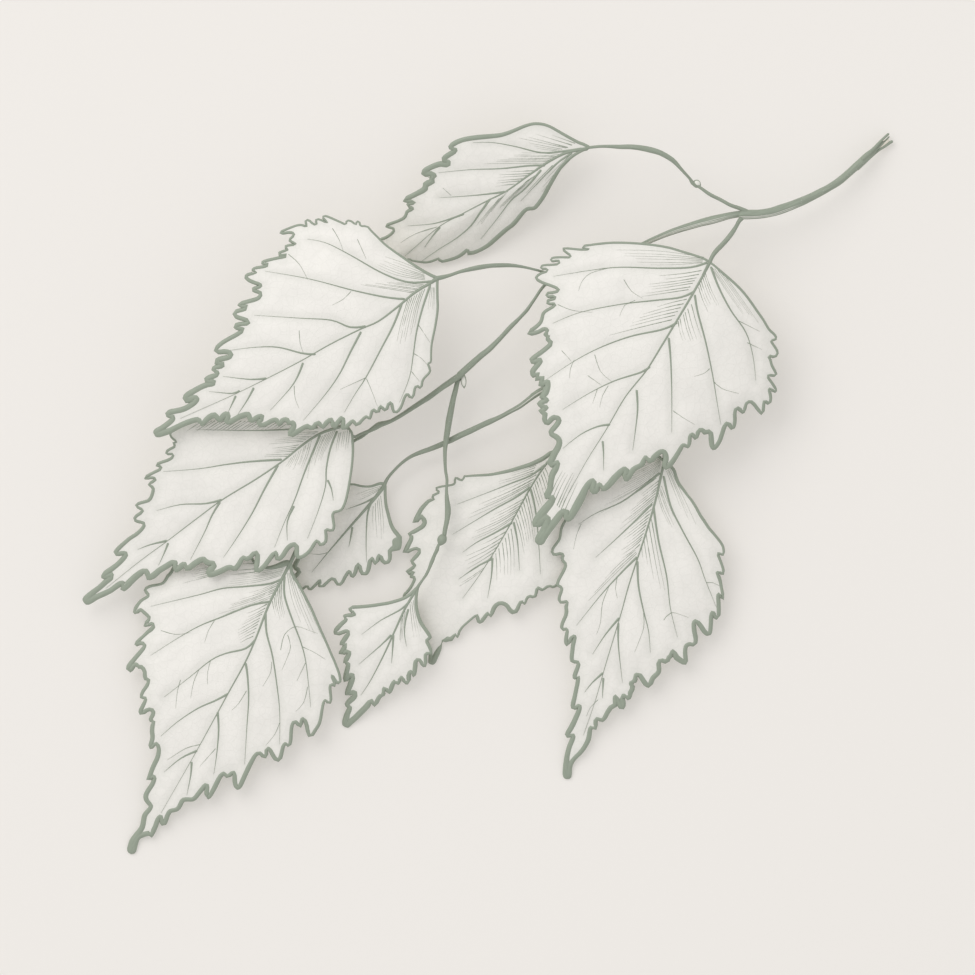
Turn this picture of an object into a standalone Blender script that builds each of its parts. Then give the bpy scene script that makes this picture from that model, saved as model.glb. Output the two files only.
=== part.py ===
"""A cut birch twig with nine toothed leaves, lying on a flat surface.

Its plan is sketched in units of the drawing, x to the right and y down, and
heights above the surface are in millimetres. One real size sets the scale:
the blade of the right-hand leaf.
"""
from math import hypot, pi, sin

import bmesh
import bpy
from mathutils import Matrix, Vector

# Driving dimensions, metres
REFERENCE_BLADE = 0.066
BLADE_THICKNESS = 0.0005
MIDRIB_RADIUS_AT_BASE = 0.00052
MIDRIB_RADIUS_AT_END = 0.00036
CUP_REFERENCE = 0.025
MM = 0.001

# The sketch: where the reference blade starts and ends, and the middle of the whole twig
REFERENCE_BASE = (709, 262)
REFERENCE_TIP = (537, 544)
SKETCH_CENTRE = (488.5, 489)
UNIT = REFERENCE_BLADE / hypot(REFERENCE_TIP[0] - REFERENCE_BASE[0], REFERENCE_TIP[1] - REFERENCE_BASE[1])

# How finely the solids are cut up
RING_SPACING = 20
BLADE_CUT_SPACING = 0.0085
TUBE_BEVEL_RESOLUTION = 2
RIB_BEVEL_RESOLUTION = 1
BUD_TAPER = 0.55

# The wood: x, y, height in millimetres, width in sketch units
WOOD = {
    "main_stem": [
        (891, 136, 0.92, 9.4), (868, 157, 2.4, 9.8), (845, 175, 3.8, 10), (820, 192, 5.2, 9.6),
        (795, 203, 6.4, 9.5), (770, 212, 7.4, 9), (749, 214.5, 8, 9),
    ],
    "upper_shoot": [(738, 206, 8.6, 3.4), (722, 200, 8.9, 3.2), (708, 193, 9, 3), (698.5, 187.5, 9, 3.2)],
    "middle_shoot": [
        (747.3, 214.3, 8, 8.6), (720, 217, 8, 8), (695, 224, 8, 7.5), (670, 233, 8, 6.6),
        (645, 244, 8, 6), (615, 257, 8.2, 5.5), (590, 266.5, 8.4, 5.2), (571, 272, 8.5, 5),
    ],
    "left_shoot": [
        (569, 272.6, 8.5, 4), (547, 283, 8.5, 3.4), (530, 306, 8.3, 4), (510, 329, 8.1, 5.5),
        (488, 350, 8, 6.4), (462, 373, 8, 6.6),
    ],
    "end_shoot": [
        (460.6, 374.2, 8, 6.4), (445, 386, 8.3, 6), (420, 403, 8.9, 5.4), (400, 414.5, 9.4, 5.2),
        (382, 424, 9.8, 5.6), (368, 431, 10, 4.4),
    ],
    "lower_shoot": [
        (641, 252, 7.3, 5), (633, 285, 7, 5), (612, 330, 6.4, 5), (582, 366, 5.9, 5), (548, 388, 5.5, 5.2),
        (525, 402, 5.3, 4.8), (500, 415.5, 5.1, 5), (470, 430.5, 4.8, 5.2), (446, 441, 4.6, 4.8),
    ],
    "hanging_shoot": [
        (458.5, 378.5, 7, 4), (453.5, 398, 6.9, 5.8), (448.5, 425, 6.7, 5), (445, 450, 6.6, 4),
        (446, 475, 6.5, 3.4), (448, 500, 6.4, 5.4), (447.5, 518, 6.3, 5.6), (445, 532.5, 6.2, 4),
    ],
}

# The buds: middle x, y, height in millimetres, then length, width and heading in degrees
BUDS = {
    "bud_upper": dict(middle=(695.2, 181.4, 9.1), length=10, width=6.4, heading=105),
    "bud_middle": dict(middle=(464.6, 384, 7.2), length=14, width=5.8, heading=-80),
    "bud_hanging": dict(middle=(442.4, 540.2, 6.2), length=12, width=9, heading=-112),
}

# The leaves. out and back are the toothed margin, from the base to the tip and from the
# tip to the base. heights are those of the base, the tip, and the arch between them.
# fold is the slope of each half from the midrib, and cup its curve: the millimetres
# that it gains 25 mm from the midrib. Both name the out half first.
LEAVES = {
    "leaf_right": dict(
        base=REFERENCE_BASE, tip=REFERENCE_TIP, heights=(13, 9, 1.8), fold=(0.02, 0.04), cup=(-2.2, -6),
        stalk=[(741.2, 221.4, 8.3, 4), (736, 229, 9.4, 5), (727, 239, 10.8, 5.4), (717, 251, 12.3, 5.2)],
        midrib=[(690, 297), (660, 347), (625, 396), (585, 462)],
        out=[
            (690, 254), (670, 248), (650, 244.5), (625, 243), (600, 244), (583, 246.5), (588, 250),
            (563, 249), (570, 256), (552, 259), (559, 263), (543, 266.5), (547, 270.5), (537, 278),
            (557, 288), (556, 292), (547, 295), (554, 297.5), (548, 301), (554, 304), (544, 312),
            (540, 323), (528, 332), (547, 329), (546, 335), (551, 344), (531, 360), (540, 360.5),
            (532, 372), (538, 379), (548, 384), (547, 393), (540, 402), (545, 408), (544, 420),
            (548, 422), (555, 417.5), (558, 422), (551, 433), (558, 439), (557, 450), (550, 463),
            (556, 462), (551, 478), (551, 488), (547, 494), (553, 498), (546, 511), (534, 524),
            (547, 518), (545, 530),
        ],
        back=[
            (553, 524), (563, 513), (567, 519), (577, 507), (586, 490), (592, 481), (594, 489),
            (600, 485), (604, 487), (615, 475), (625, 470), (627, 478), (634, 467), (642, 464),
            (646, 459), (649, 462), (656, 454), (662, 453), (665, 466), (671, 462), (681, 447),
            (688, 445), (692, 434), (696, 437), (701, 429), (710, 431), (713, 448), (720, 440),
            (728, 424), (733, 427), (737, 409), (743, 412), (747, 402), (752, 401), (761, 413),
            (765, 401), (770, 403), (769, 389), (776, 391), (768, 376), (776, 374), (769, 357),
            (777, 353), (771, 340), (776, 338), (768, 329), (756, 312), (742, 293), (725, 276),
        ],
    ),
    "leaf_upper_left": dict(
        base=(437, 278), tip=(154, 434), heights=(16, 13, 2.6), fold=(0.03, 0.02), cup=(-4, -3),
        stalk=[
            (565.5, 268, 8.7, 2.6), (548, 271, 9.6, 2.8), (530, 267, 10.7, 3.6), (508, 264.5, 12.3, 4.8),
            (485, 265.5, 14, 5.2), (460, 272, 15.4, 5),
        ],
        midrib=[(415, 292), (378, 321), (330, 344), (265, 379), (215, 403)],
        out=[
            (420, 268), (400, 256), (385, 245), (368, 228.5), (361, 226), (359, 222), (356, 225),
            (348, 221), (345, 225), (323, 217), (329, 224), (319, 221), (315, 225), (309, 221),
            (308, 227), (300, 226), (281, 233), (294, 233), (290, 240), (296, 244), (287, 247),
            (288, 251), (281, 254), (285, 257), (263, 262), (267, 266), (254, 270), (257, 273),
            (246, 276.5), (259, 285), (255, 290), (260, 294), (257, 299), (239, 305), (245, 308),
            (237, 314), (249, 322), (236, 327), (243, 331), (222, 344), (216, 350), (231, 353),
            (229, 358), (217, 362), (221, 366), (215, 369), (217, 375), (207, 380), (213, 383),
            (197, 390), (187, 398), (197, 399), (185, 408), (168, 414), (173, 419),
        ],
        back=[
            (180, 426), (196, 420), (203, 424), (217, 415), (220, 420), (228, 414), (231, 421),
            (248, 415), (253, 421), (261, 417), (262, 425), (277, 419), (280, 423), (287, 418),
            (290, 423), (297, 422), (292, 434), (307, 425), (312, 428), (318, 422), (322, 428),
            (331, 420), (334, 428), (343, 419), (343, 428), (353, 420), (356, 424), (366, 416),
            (369, 418), (372, 410), (378, 411), (380, 406), (386, 410), (391, 403), (395, 412),
            (401, 407), (407, 394), (413, 397), (415, 388), (421, 388), (423, 380), (430, 371),
            (427, 364), (431, 362), (431, 348), (435, 328), (437, 310), (436, 292),
        ],
    ),
    "leaf_top": dict(
        base=(589, 147), tip=(354, 278), heights=(9, 0.23, 2), fold=(0.12, -0.62), cup=(1, 0),
        stalk=[
            (694.4, 175.6, 9.2, 3.4), (684, 170.5, 9.8, 4), (672, 159.5, 10.6, 5.4), (656, 151, 11, 6.2),
            (638, 148, 10.8, 5.4), (613, 147, 10, 4),
        ],
        midrib=[(566, 152), (525, 177), (485, 201), (440, 225), (404, 249)],
        out=[
            (577, 144), (564, 136), (549, 127), (535, 124), (522, 127), (500, 135), (480, 137.5),
            (462, 140), (451, 146), (456, 150), (443, 159), (449, 164), (438, 165), (422, 171),
            (433, 175), (427, 188), (404, 199), (414, 201), (408, 204), (412, 208), (407, 211),
            (403, 218), (386, 225), (394, 229), (380, 239), (372, 246), (374, 252), (362, 262),
        ],
        back=[
            (372, 274), (385, 264), (392, 266), (408, 259), (426, 262), (437, 258), (440, 261),
            (452, 258), (466, 249), (469, 253), (484, 247), (500, 235), (512, 225), (526, 210),
            (534, 209), (545, 196), (554, 181), (566, 163), (577, 153),
        ],
    ),
    "leaf_left": dict(
        base=(345, 424), tip=(83, 602), heights=(12, 4, 1), fold=(0.04, 0.02), cup=(0.6, -1.2),
        stalk=[(365, 432.4, 10.2, 2.8), (357, 435.8, 10.9, 3), (350, 433, 11.6, 3.4)],
        midrib=[(320, 433), (283, 460), (222, 499), (166, 541), (134, 565)],
        out=[
            (330, 416), (300, 409), (270, 407), (240, 409), (215, 412), (195, 417), (182, 423),
            (171, 433), (177, 441), (173, 445), (166, 452), (173, 453), (171, 458), (156, 465),
            (161, 469), (145, 478), (155, 478), (149, 484), (153, 489), (149, 500), (136, 505),
            (142, 511), (135, 518), (144, 523), (140, 530), (125, 542), (115, 551), (126, 553),
            (118, 563), (105, 575), (110, 577), (97, 589),
        ],
        back=[
            (96, 597), (110, 592), (122, 584), (124, 588), (144, 572), (149, 576), (173, 562),
            (176, 568), (184, 564), (188, 568), (204, 559), (209, 562), (214, 563), (209, 574),
            (228, 566), (234, 567), (243, 557), (248, 558), (256, 552), (255, 570), (264, 565),
            (274, 553), (278, 558), (290, 546), (296, 546), (298, 557), (308, 552), (317, 541),
            (320, 545), (326, 541), (326, 529), (332, 531), (334, 524), (333, 512), (341, 510),
            (347, 495), (352, 468), (353, 448), (351, 432),
        ],
    ),
    "leaf_lower_left": dict(
        base=(290, 562), tip=(130, 854), heights=(6.6, 0.25, 1.6), fold=(0.02, 0.03), cup=(-3.6, -3),
        stalk=[
            (363.6, 434.6, 9.2, 3), (350, 444, 9, 3), (334, 470, 8.6, 3.2), (315, 508, 7.7, 3.6),
            (300, 540, 7, 4),
        ],
        midrib=[(280, 581), (256, 636), (228, 692), (190, 761), (170, 796)],
        out=[
            (270, 553), (240, 551), (215, 553), (190, 558), (172, 569), (163, 583), (145, 589),
            (148, 595), (135, 611), (149, 617), (145, 625), (153, 623), (135, 645), (144, 645),
            (129, 668), (136, 664), (145, 670), (149, 680), (139, 697), (145, 699), (140, 713),
            (152, 710), (149, 720), (154, 723), (150, 746), (158, 745), (147, 779), (154, 777),
            (144, 796), (151, 806), (144, 815), (140, 827), (133, 839), (128, 849),
        ],
        back=[
            (134, 849), (140, 841), (150, 832), (160, 817), (163, 823), (169, 810), (177, 808),
            (183, 799), (192, 799), (205, 785), (207, 797), (222, 775), (226, 777), (233, 772),
            (237, 787), (252, 759), (258, 753), (265, 757), (267, 750), (277, 760), (285, 742),
            (290, 743), (294, 722), (300, 726), (303, 719), (310, 736), (318, 727), (323, 702),
            (329, 703), (329, 684), (334, 686), (332, 677), (340, 681), (333, 658), (318, 626),
            (305, 600), (298, 584), (293, 570),
        ],
    ),
    "leaf_inner": dict(
        base=(384.5, 484), tip=(262, 612), heights=(3.6, 0.25, 0.8), fold=(0.05, 0.02), cup=(-1, -2),
        stalk=[(443, 442.4, 4.6, 4.4), (425, 448.5, 4.4, 4.4), (408, 456.5, 4.1, 4), (396, 468, 3.9, 3.8)],
        midrib=[(374, 498), (348, 528), (330, 549), (300, 578)],
        out=[
            (376, 485), (367, 487), (351, 485), (336, 488), (320, 497), (304, 511), (290, 530),
            (280, 550), (270, 574), (266, 594),
        ],
        back=[
            (272, 607), (287, 597), (301, 589), (306, 585), (309, 589), (319, 580), (320, 586),
            (331, 578), (337, 584), (342, 579), (348, 570), (351, 576), (357, 564), (362, 574),
            (367, 571), (371, 559), (375, 565), (379, 555), (385, 563), (390, 558), (391, 548),
            (399, 548), (400, 537), (392, 527), (387, 508), (386.5, 493),
        ],
    ),
    "leaf_middle": dict(
        base=(555, 451), tip=(430, 664), heights=(3.4, 0.26, 1.3), fold=(0.02, 0.03), cup=(-1.6, -2.4),
        stalk=[(587, 367.6, 4.9, 3.4), (578, 395, 4.6, 3.4), (565, 430, 3.9, 3.8)],
        midrib=[(543, 467), (513, 518), (480, 573), (455, 612)],
        out=[
            (548, 460), (534, 466), (516, 471), (490, 475), (465, 477), (461, 480), (456, 478),
            (454, 484), (437, 487), (439, 491), (432, 496), (434, 500), (422, 508), (414, 521),
            (423, 518), (424, 524), (408, 534), (412, 539), (404, 552), (419, 549), (412, 560),
            (415, 565), (406, 572), (414, 572), (414, 582), (405, 596), (404, 610), (410, 618),
            (409, 632), (417, 640), (419, 652),
        ],
        back=[
            (440, 646), (451, 639), (455, 634), (457, 637), (460, 629), (476, 615), (480, 622),
            (488, 613), (491, 616), (498, 604), (505, 604), (514, 612), (521, 601), (524, 604),
            (528, 596), (534, 597), (538, 588), (543, 590), (549, 586), (554, 588), (562, 585),
            (574, 572), (580, 552), (588, 540), (585, 515), (579, 490), (570, 468),
        ],
    ),
    "leaf_hanging": dict(
        base=(417, 587), tip=(345, 727), heights=(6, 0.25, 0.8), fold=(0.05, 0.03), cup=(-2, -4),
        stalk=[(438.6, 549.4, 6.1, 3.4), (433, 560, 6.2, 3.8), (425, 574, 6.1, 3.6)],
        midrib=[(405, 607), (393, 633), (370, 680), (361, 697)],
        out=[
            (409, 595), (395, 600.5), (372, 605), (350, 607), (354, 614.5), (344, 616), (346, 620),
            (334, 632), (349, 632), (340, 644), (346, 645), (339, 653), (350, 654), (344, 662),
            (349, 664), (344, 680), (354, 677), (349, 686), (346, 694), (356, 695), (345, 704),
            (350, 707), (346, 717),
        ],
        back=[
            (353, 718), (371, 699), (374, 705), (379, 695), (383, 694), (385, 688), (389, 691),
            (394, 681), (398, 683), (401, 677), (406, 683), (411, 671), (413, 675), (415, 660),
            (418, 659), (425, 666), (426, 654), (431, 653), (426, 640), (430, 637), (423, 625),
            (418, 613), (418.5, 599),
        ],
    ),
    "leaf_lower_right": dict(
        base=(664, 461), tip=(567, 779), heights=(7, 0.25, 1.6), fold=(0.03, 0.02), cup=(-1.8, -4),
        stalk=[(627.5, 308.5, 6.2, 3.6), (642, 345, 6.6, 3.6), (656, 390, 7, 3.6), (663, 430, 7.1, 4)],
        midrib=[(655, 500), (637, 558), (620, 615), (595, 700), (585, 728)],
        out=[
            (650, 452), (630, 454), (608, 463), (590, 476), (576, 494), (565, 520), (560, 539),
            (552, 550), (556, 554), (564, 554), (566, 565), (557, 585), (562, 589), (559, 601),
            (567, 602), (568, 611), (562, 628), (567, 630), (567, 645), (574, 636), (572, 661),
            (579, 662), (575, 677), (580, 676), (573, 706), (580, 706), (567, 734), (573, 736),
            (565, 760),
        ],
        back=[
            (571.5, 764), (585, 747), (592, 727), (597, 728), (597, 718), (604, 719), (615, 704),
            (616, 696), (622, 706), (624, 696), (630, 697), (633, 688), (631, 682), (636, 681),
            (638, 674), (649, 686), (658, 673), (658, 661), (669, 660), (673, 652), (686, 664),
            (686, 645), (695, 643), (694, 622), (698, 622), (710, 634), (713, 612), (717, 617),
            (718, 594), (723, 599), (718, 573), (724, 574), (717, 553), (723, 555), (721, 543),
            (707, 525), (691, 500), (679, 484), (672, 468),
        ],
    ),
}

BARK_COLOUR = (0.296, 0.337, 0.270, 1)
BUD_COLOUR = (0.262, 0.304, 0.235, 1)
LEAF_COLOUR = (0.820, 0.807, 0.752, 1)


def clear_scene():
    for thing in list(bpy.data.objects):
        bpy.data.objects.remove(thing, do_unlink=True)


def new_collection(name):
    collection = bpy.data.collections.new(name)
    bpy.context.scene.collection.children.link(collection)
    return collection


def principled(name, colour, roughness):
    """A plain finish, not metallic."""
    material = bpy.data.materials.new(name)
    material.use_nodes = True
    shader = material.node_tree.nodes["Principled BSDF"]
    shader.inputs["Base Color"].default_value = colour
    shader.inputs["Roughness"].default_value = roughness
    shader.inputs["Metallic"].default_value = 0
    return material


def place(x, y, height):
    """A point of the sketch and its height in millimetres, as a place in metres."""
    return Vector(((x - SKETCH_CENTRE[0]) * UNIT, (SKETCH_CENTRE[1] - y) * UNIT, height * MM))


def spline_value(a, b, c, d, t):
    """A Catmull-Rom spline's value between b and c."""
    bend = 2 * a - 5 * b + 4 * c - d
    return 0.5 * (2 * b + (c - a) * t + bend * t ** 2 + (3 * b - a - 3 * c + d) * t ** 3)


def smooth_route(points, spacing):
    """More points along a smooth curve through the given ones, about spacing apart."""
    ends = [points[0], *points, points[-1]]
    route = []
    for a, b, c, d in zip(ends, ends[1:], ends[2:], ends[3:]):
        steps = max(1, round(hypot(c[0] - b[0], c[1] - b[1]) / spacing))
        for step in range(steps):
            route.append(tuple(spline_value(*values, step / steps) for values in zip(a, b, c, d)))
    return route + [points[-1]]


def make_tube(name, route, resolution):
    """A tapering round rod with closed ends, along places paired with radii."""
    curve = bpy.data.curves.new(name, "CURVE")
    curve.dimensions = "3D"
    curve.bevel_depth = MM
    curve.bevel_resolution = resolution
    curve.use_fill_caps = True
    spline = curve.splines.new("POLY")
    spline.points.add(len(route) - 1)
    for point, (spot, radius) in zip(spline.points, route):
        point.co = (*spot, 1)
        point.radius = radius / MM
    return bpy.data.objects.new(name, curve)


def as_mesh(tube, collection):
    """The same rod as a welded mesh, so that it can be joined to another solid."""
    scratch = bpy.context.scene.collection
    scratch.objects.link(tube)
    evaluated = tube.evaluated_get(bpy.context.evaluated_depsgraph_get())
    mesh = bpy.data.meshes.new_from_object(evaluated)
    cage = bmesh.new()
    cage.from_mesh(mesh)
    bmesh.ops.remove_doubles(cage, verts=cage.verts, dist=1e-6)
    cage.to_mesh(mesh)
    cage.free()
    solid = bpy.data.objects.new(tube.name, mesh)
    solid.matrix_world = tube.matrix_world
    bpy.data.objects.remove(tube, do_unlink=True)
    collection.objects.link(solid)
    return solid


def leaf_axes(leaf):
    """The leaf's base, its direction in the plan, and its length, in sketch units."""
    base = Vector(leaf["base"])
    run = Vector(leaf["tip"]) - base
    return base, run.normalized(), run.length


def leaf_height(leaf, x, y):
    """Height in millimetres of the middle of the blade at a point of the sketch."""
    base, along, length = leaf_axes(leaf)
    offset = Vector((x, y)) - base
    share = min(max(offset.dot(along) / length, -0.15), 1.05)
    side = offset.x * along.y - offset.y * along.x
    half = 0 if side < 0 else 1
    away = abs(side) * UNIT
    base_height, tip_height, arch = leaf["heights"]
    spine = base_height + (tip_height - base_height) * share + arch * sin(pi * min(max(share, 0), 1))
    return spine + leaf["fold"][half] * away / MM + leaf["cup"][half] * (away / CUP_REFERENCE) ** 2


def make_blade(name, leaf):
    """The toothed outline, cut into strips and bent to the leaf's own curve, then thickened."""
    outline = [leaf["base"], *leaf["out"], leaf["tip"], *leaf["back"]]
    sheet = bmesh.new()
    corners = [sheet.verts.new(place(x, y, 0)) for x, y in outline]
    edges = [sheet.edges.new(pair) for pair in zip(corners, corners[1:] + corners[:1])]
    bmesh.ops.contextual_create(sheet, geom=edges)
    base = place(*leaf["base"], 0)
    run = place(*leaf["tip"], 0) - base
    along = run.normalized()
    across = Vector((-along.y, along.x, 0))
    for direction, reach in ((across, 3), (along, round(run.length / BLADE_CUT_SPACING))):
        first = -reach if direction is across else 0
        for number in range(first, reach + 1):
            bmesh.ops.bisect_plane(
                sheet, geom=sheet.verts[:] + sheet.edges[:] + sheet.faces[:], dist=1e-6,
                plane_co=base + direction * number * BLADE_CUT_SPACING, plane_no=direction)
    bmesh.ops.triangulate(sheet, faces=sheet.faces[:], quad_method="BEAUTY", ngon_method="BEAUTY")
    if sum(face.normal.z for face in sheet.faces) < 0:
        bmesh.ops.reverse_faces(sheet, faces=sheet.faces[:])
    for corner in sheet.verts:
        x = corner.co.x / UNIT + SKETCH_CENTRE[0]
        y = SKETCH_CENTRE[1] - corner.co.y / UNIT
        corner.co.z = leaf_height(leaf, x, y) * MM
    mesh = bpy.data.meshes.new(name)
    sheet.to_mesh(mesh)
    sheet.free()
    blade = bpy.data.objects.new(name, mesh)
    thicken = blade.modifiers.new("thickness", "SOLIDIFY")
    thicken.thickness = BLADE_THICKNESS
    thicken.offset = 0
    return blade


def stalk_and_midrib(leaf):
    """Places and radii from the stalk's start to the end of the midrib, under the tip."""
    route = []
    for x, y, height, width in smooth_route(leaf["stalk"], RING_SPACING):
        route.append((place(x, y, height), width * UNIT / 2))
    rib = [leaf["base"], *leaf["midrib"]]
    for number, (x, y) in enumerate(rib):
        share = number / (len(rib) - 1)
        radius = MIDRIB_RADIUS_AT_BASE + (MIDRIB_RADIUS_AT_END - MIDRIB_RADIUS_AT_BASE) * share
        route.append((place(x, y, leaf_height(leaf, x, y)), radius))
    return route


def make_leaf(name, leaf, material, parts, cutters):
    """One leaf: its blade, with the stalk and the midrib joined to it."""
    blade = make_blade(name, leaf)
    parts.objects.link(blade)
    blade.data.materials.append(material)
    rib = as_mesh(make_tube(name + "_rib", stalk_and_midrib(leaf), RIB_BEVEL_RESOLUTION), cutters)
    rib.hide_render = True
    rib.display_type = "WIRE"
    join = blade.modifiers.new("rib", "BOOLEAN")
    join.operation = "UNION"
    join.solver = "EXACT"
    join.object = rib


def make_shoot(name, points, material, parts):
    route = []
    for x, y, height, width in smooth_route(points, RING_SPACING):
        route.append((place(x, y, height), width * UNIT / 2))
    shoot = as_mesh(make_tube(name + "_rod", route, TUBE_BEVEL_RESOLUTION), parts)
    shoot.name = name
    shoot.data.materials.append(material)
    shoot.data.shade_smooth()
    shoot.data.set_sharp_from_angle(angle=0.7)


def make_bud(name, bud, material, parts):
    """A small egg-shaped bud, drawn out to a point at its far end."""
    egg = bmesh.new()
    bmesh.ops.create_uvsphere(egg, u_segments=10, v_segments=8, radius=0.5)
    for corner in egg.verts:
        width = bud["width"] * (1 - BUD_TAPER * (corner.co.z + 0.5) ** 2)
        corner.co = (corner.co.z * bud["length"], corner.co.x * width, corner.co.y * width)
    bmesh.ops.scale(egg, vec=(UNIT, UNIT, UNIT), verts=egg.verts)
    bmesh.ops.recalc_face_normals(egg, faces=egg.faces)
    mesh = bpy.data.meshes.new(name)
    egg.to_mesh(mesh)
    egg.free()
    mesh.shade_smooth()
    mesh.materials.append(material)
    thing = bpy.data.objects.new(name, mesh)
    thing.location = place(*bud["middle"])
    thing.rotation_euler = (0, 0, bud["heading"] * pi / 180)
    parts.objects.link(thing)


def main():
    clear_scene()
    parts = new_collection("branch")
    cutters = new_collection("cutters")
    bark = principled("bark", BARK_COLOUR, 0.75)
    bud_scale = principled("bud_scale", BUD_COLOUR, 0.6)
    leaf_green = principled("leaf", LEAF_COLOUR, 0.55)
    for name, points in WOOD.items():
        make_shoot(name, points, bark, parts)
    for name, bud in BUDS.items():
        make_bud(name, bud, bud_scale, parts)
    for name, leaf in LEAVES.items():
        make_leaf(name, leaf, leaf_green, parts, cutters)


main()
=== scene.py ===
"""A cut birch twig with nine toothed leaves, lying on a pale surface.

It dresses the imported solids. The plan is sketched in units of the drawing, x to the right
and y down, heights above the surface are in millimetres, and one real size sets the scale.
Each line of the drawing is a form here: the thick margin, the veins, the short nerves
between them and the fans of fine hairs where a leaf's veins meet.
"""
import random
from collections import namedtuple
from math import atan2, ceil, cos, exp, floor, hypot, pi, radians, sin, sqrt, tan

import bmesh
import bpy
from mathutils import Matrix, Vector, noise
from mathutils.kdtree import KDTree


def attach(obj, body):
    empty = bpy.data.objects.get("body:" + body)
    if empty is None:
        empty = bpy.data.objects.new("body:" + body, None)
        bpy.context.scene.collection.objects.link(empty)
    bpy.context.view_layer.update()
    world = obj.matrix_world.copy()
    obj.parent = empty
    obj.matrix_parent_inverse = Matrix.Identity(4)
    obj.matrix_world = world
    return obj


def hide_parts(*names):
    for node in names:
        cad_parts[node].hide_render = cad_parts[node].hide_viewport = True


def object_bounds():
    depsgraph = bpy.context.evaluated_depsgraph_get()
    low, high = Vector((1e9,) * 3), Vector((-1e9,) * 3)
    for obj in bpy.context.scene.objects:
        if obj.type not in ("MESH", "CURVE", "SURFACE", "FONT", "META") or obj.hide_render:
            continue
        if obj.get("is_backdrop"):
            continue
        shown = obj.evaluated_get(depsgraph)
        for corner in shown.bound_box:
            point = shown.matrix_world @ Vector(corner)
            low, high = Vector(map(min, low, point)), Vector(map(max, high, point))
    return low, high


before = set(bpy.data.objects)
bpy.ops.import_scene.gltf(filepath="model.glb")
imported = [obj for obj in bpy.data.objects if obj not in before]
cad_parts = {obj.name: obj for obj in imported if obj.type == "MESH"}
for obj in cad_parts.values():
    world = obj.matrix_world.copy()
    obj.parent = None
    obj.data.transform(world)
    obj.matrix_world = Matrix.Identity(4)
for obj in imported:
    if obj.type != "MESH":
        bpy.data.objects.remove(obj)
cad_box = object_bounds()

bl_info = {
    "name": "Birch twig",
    "version": (1, 0, 0),
    "blender": (4, 5, 0),
    "location": "3D View > Sidebar > Birch twig",
    "description": "Models a leafy birch twig that lies on a surface, seen from above",
    "category": "Add Mesh",
}

# The sketch and its scale
MM = 0.001
REFERENCE_BLADE = 0.066
REFERENCE_BASE = (709, 262)
REFERENCE_TIP = (537, 544)
SKETCH_CENTRE = (488.5, 489)
SKETCH_SIZE = 975
UNIT = REFERENCE_BLADE / hypot(REFERENCE_TIP[0] - REFERENCE_BASE[0], REFERENCE_TIP[1] - REFERENCE_BASE[1])
CUP_REFERENCE = 0.025
WAVE_LENGTH = 26
CALM_REACH = 0.012
LOWEST = 0.00003

# How finely the forms are cut, in sketch units unless they say otherwise
OUTLINE_SPACING = 2.4
MARGIN_SPACING = 2.2
VEIN_SPACING = 5
HAIR_SPACING = 7
WOOD_SPACING = 2.2
STALK_SPACING = 3
MARGIN_SIDES = 8
VEIN_SIDES = 8
HAIR_SIDES = 6
STALK_SIDES = 14
WOOD_SIDES = 36

# How strong the lines on a leaf are: widths in sketch units, the rest as shares
MARGIN_WEIGHT = 1.34
RIB_TAPER = {0: 1, 1: 0.85, 3: 0.55}
RIB_RELIEF = 1.2
VEIN_WIDTH = 3.2
NERVE_WIDTHS = (1.4, 0.6)
NERVE_RELIEF = 0.7
NERVE_DEPTHS = (1, 0.8)
HAIR_WIDTHS = (1.15, 1.9)
HAIR_GAP_SHARE = 0.82
HAIR_STRAY = 0.18
HAIR_REACH = (0.74, 1)
HAIR_RELIEF = 0.6
HAIR_DEPTHS = (1, 0.85)
LINE_END = 0.3

# A leaf's material slots
FACE, UNDERSIDE, VEIN, STALK = range(4)
# A shoot's material slots
BARK, CUT_WOOD = range(2)

Station = namedtuple("Station", "frame along depth")

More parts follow.
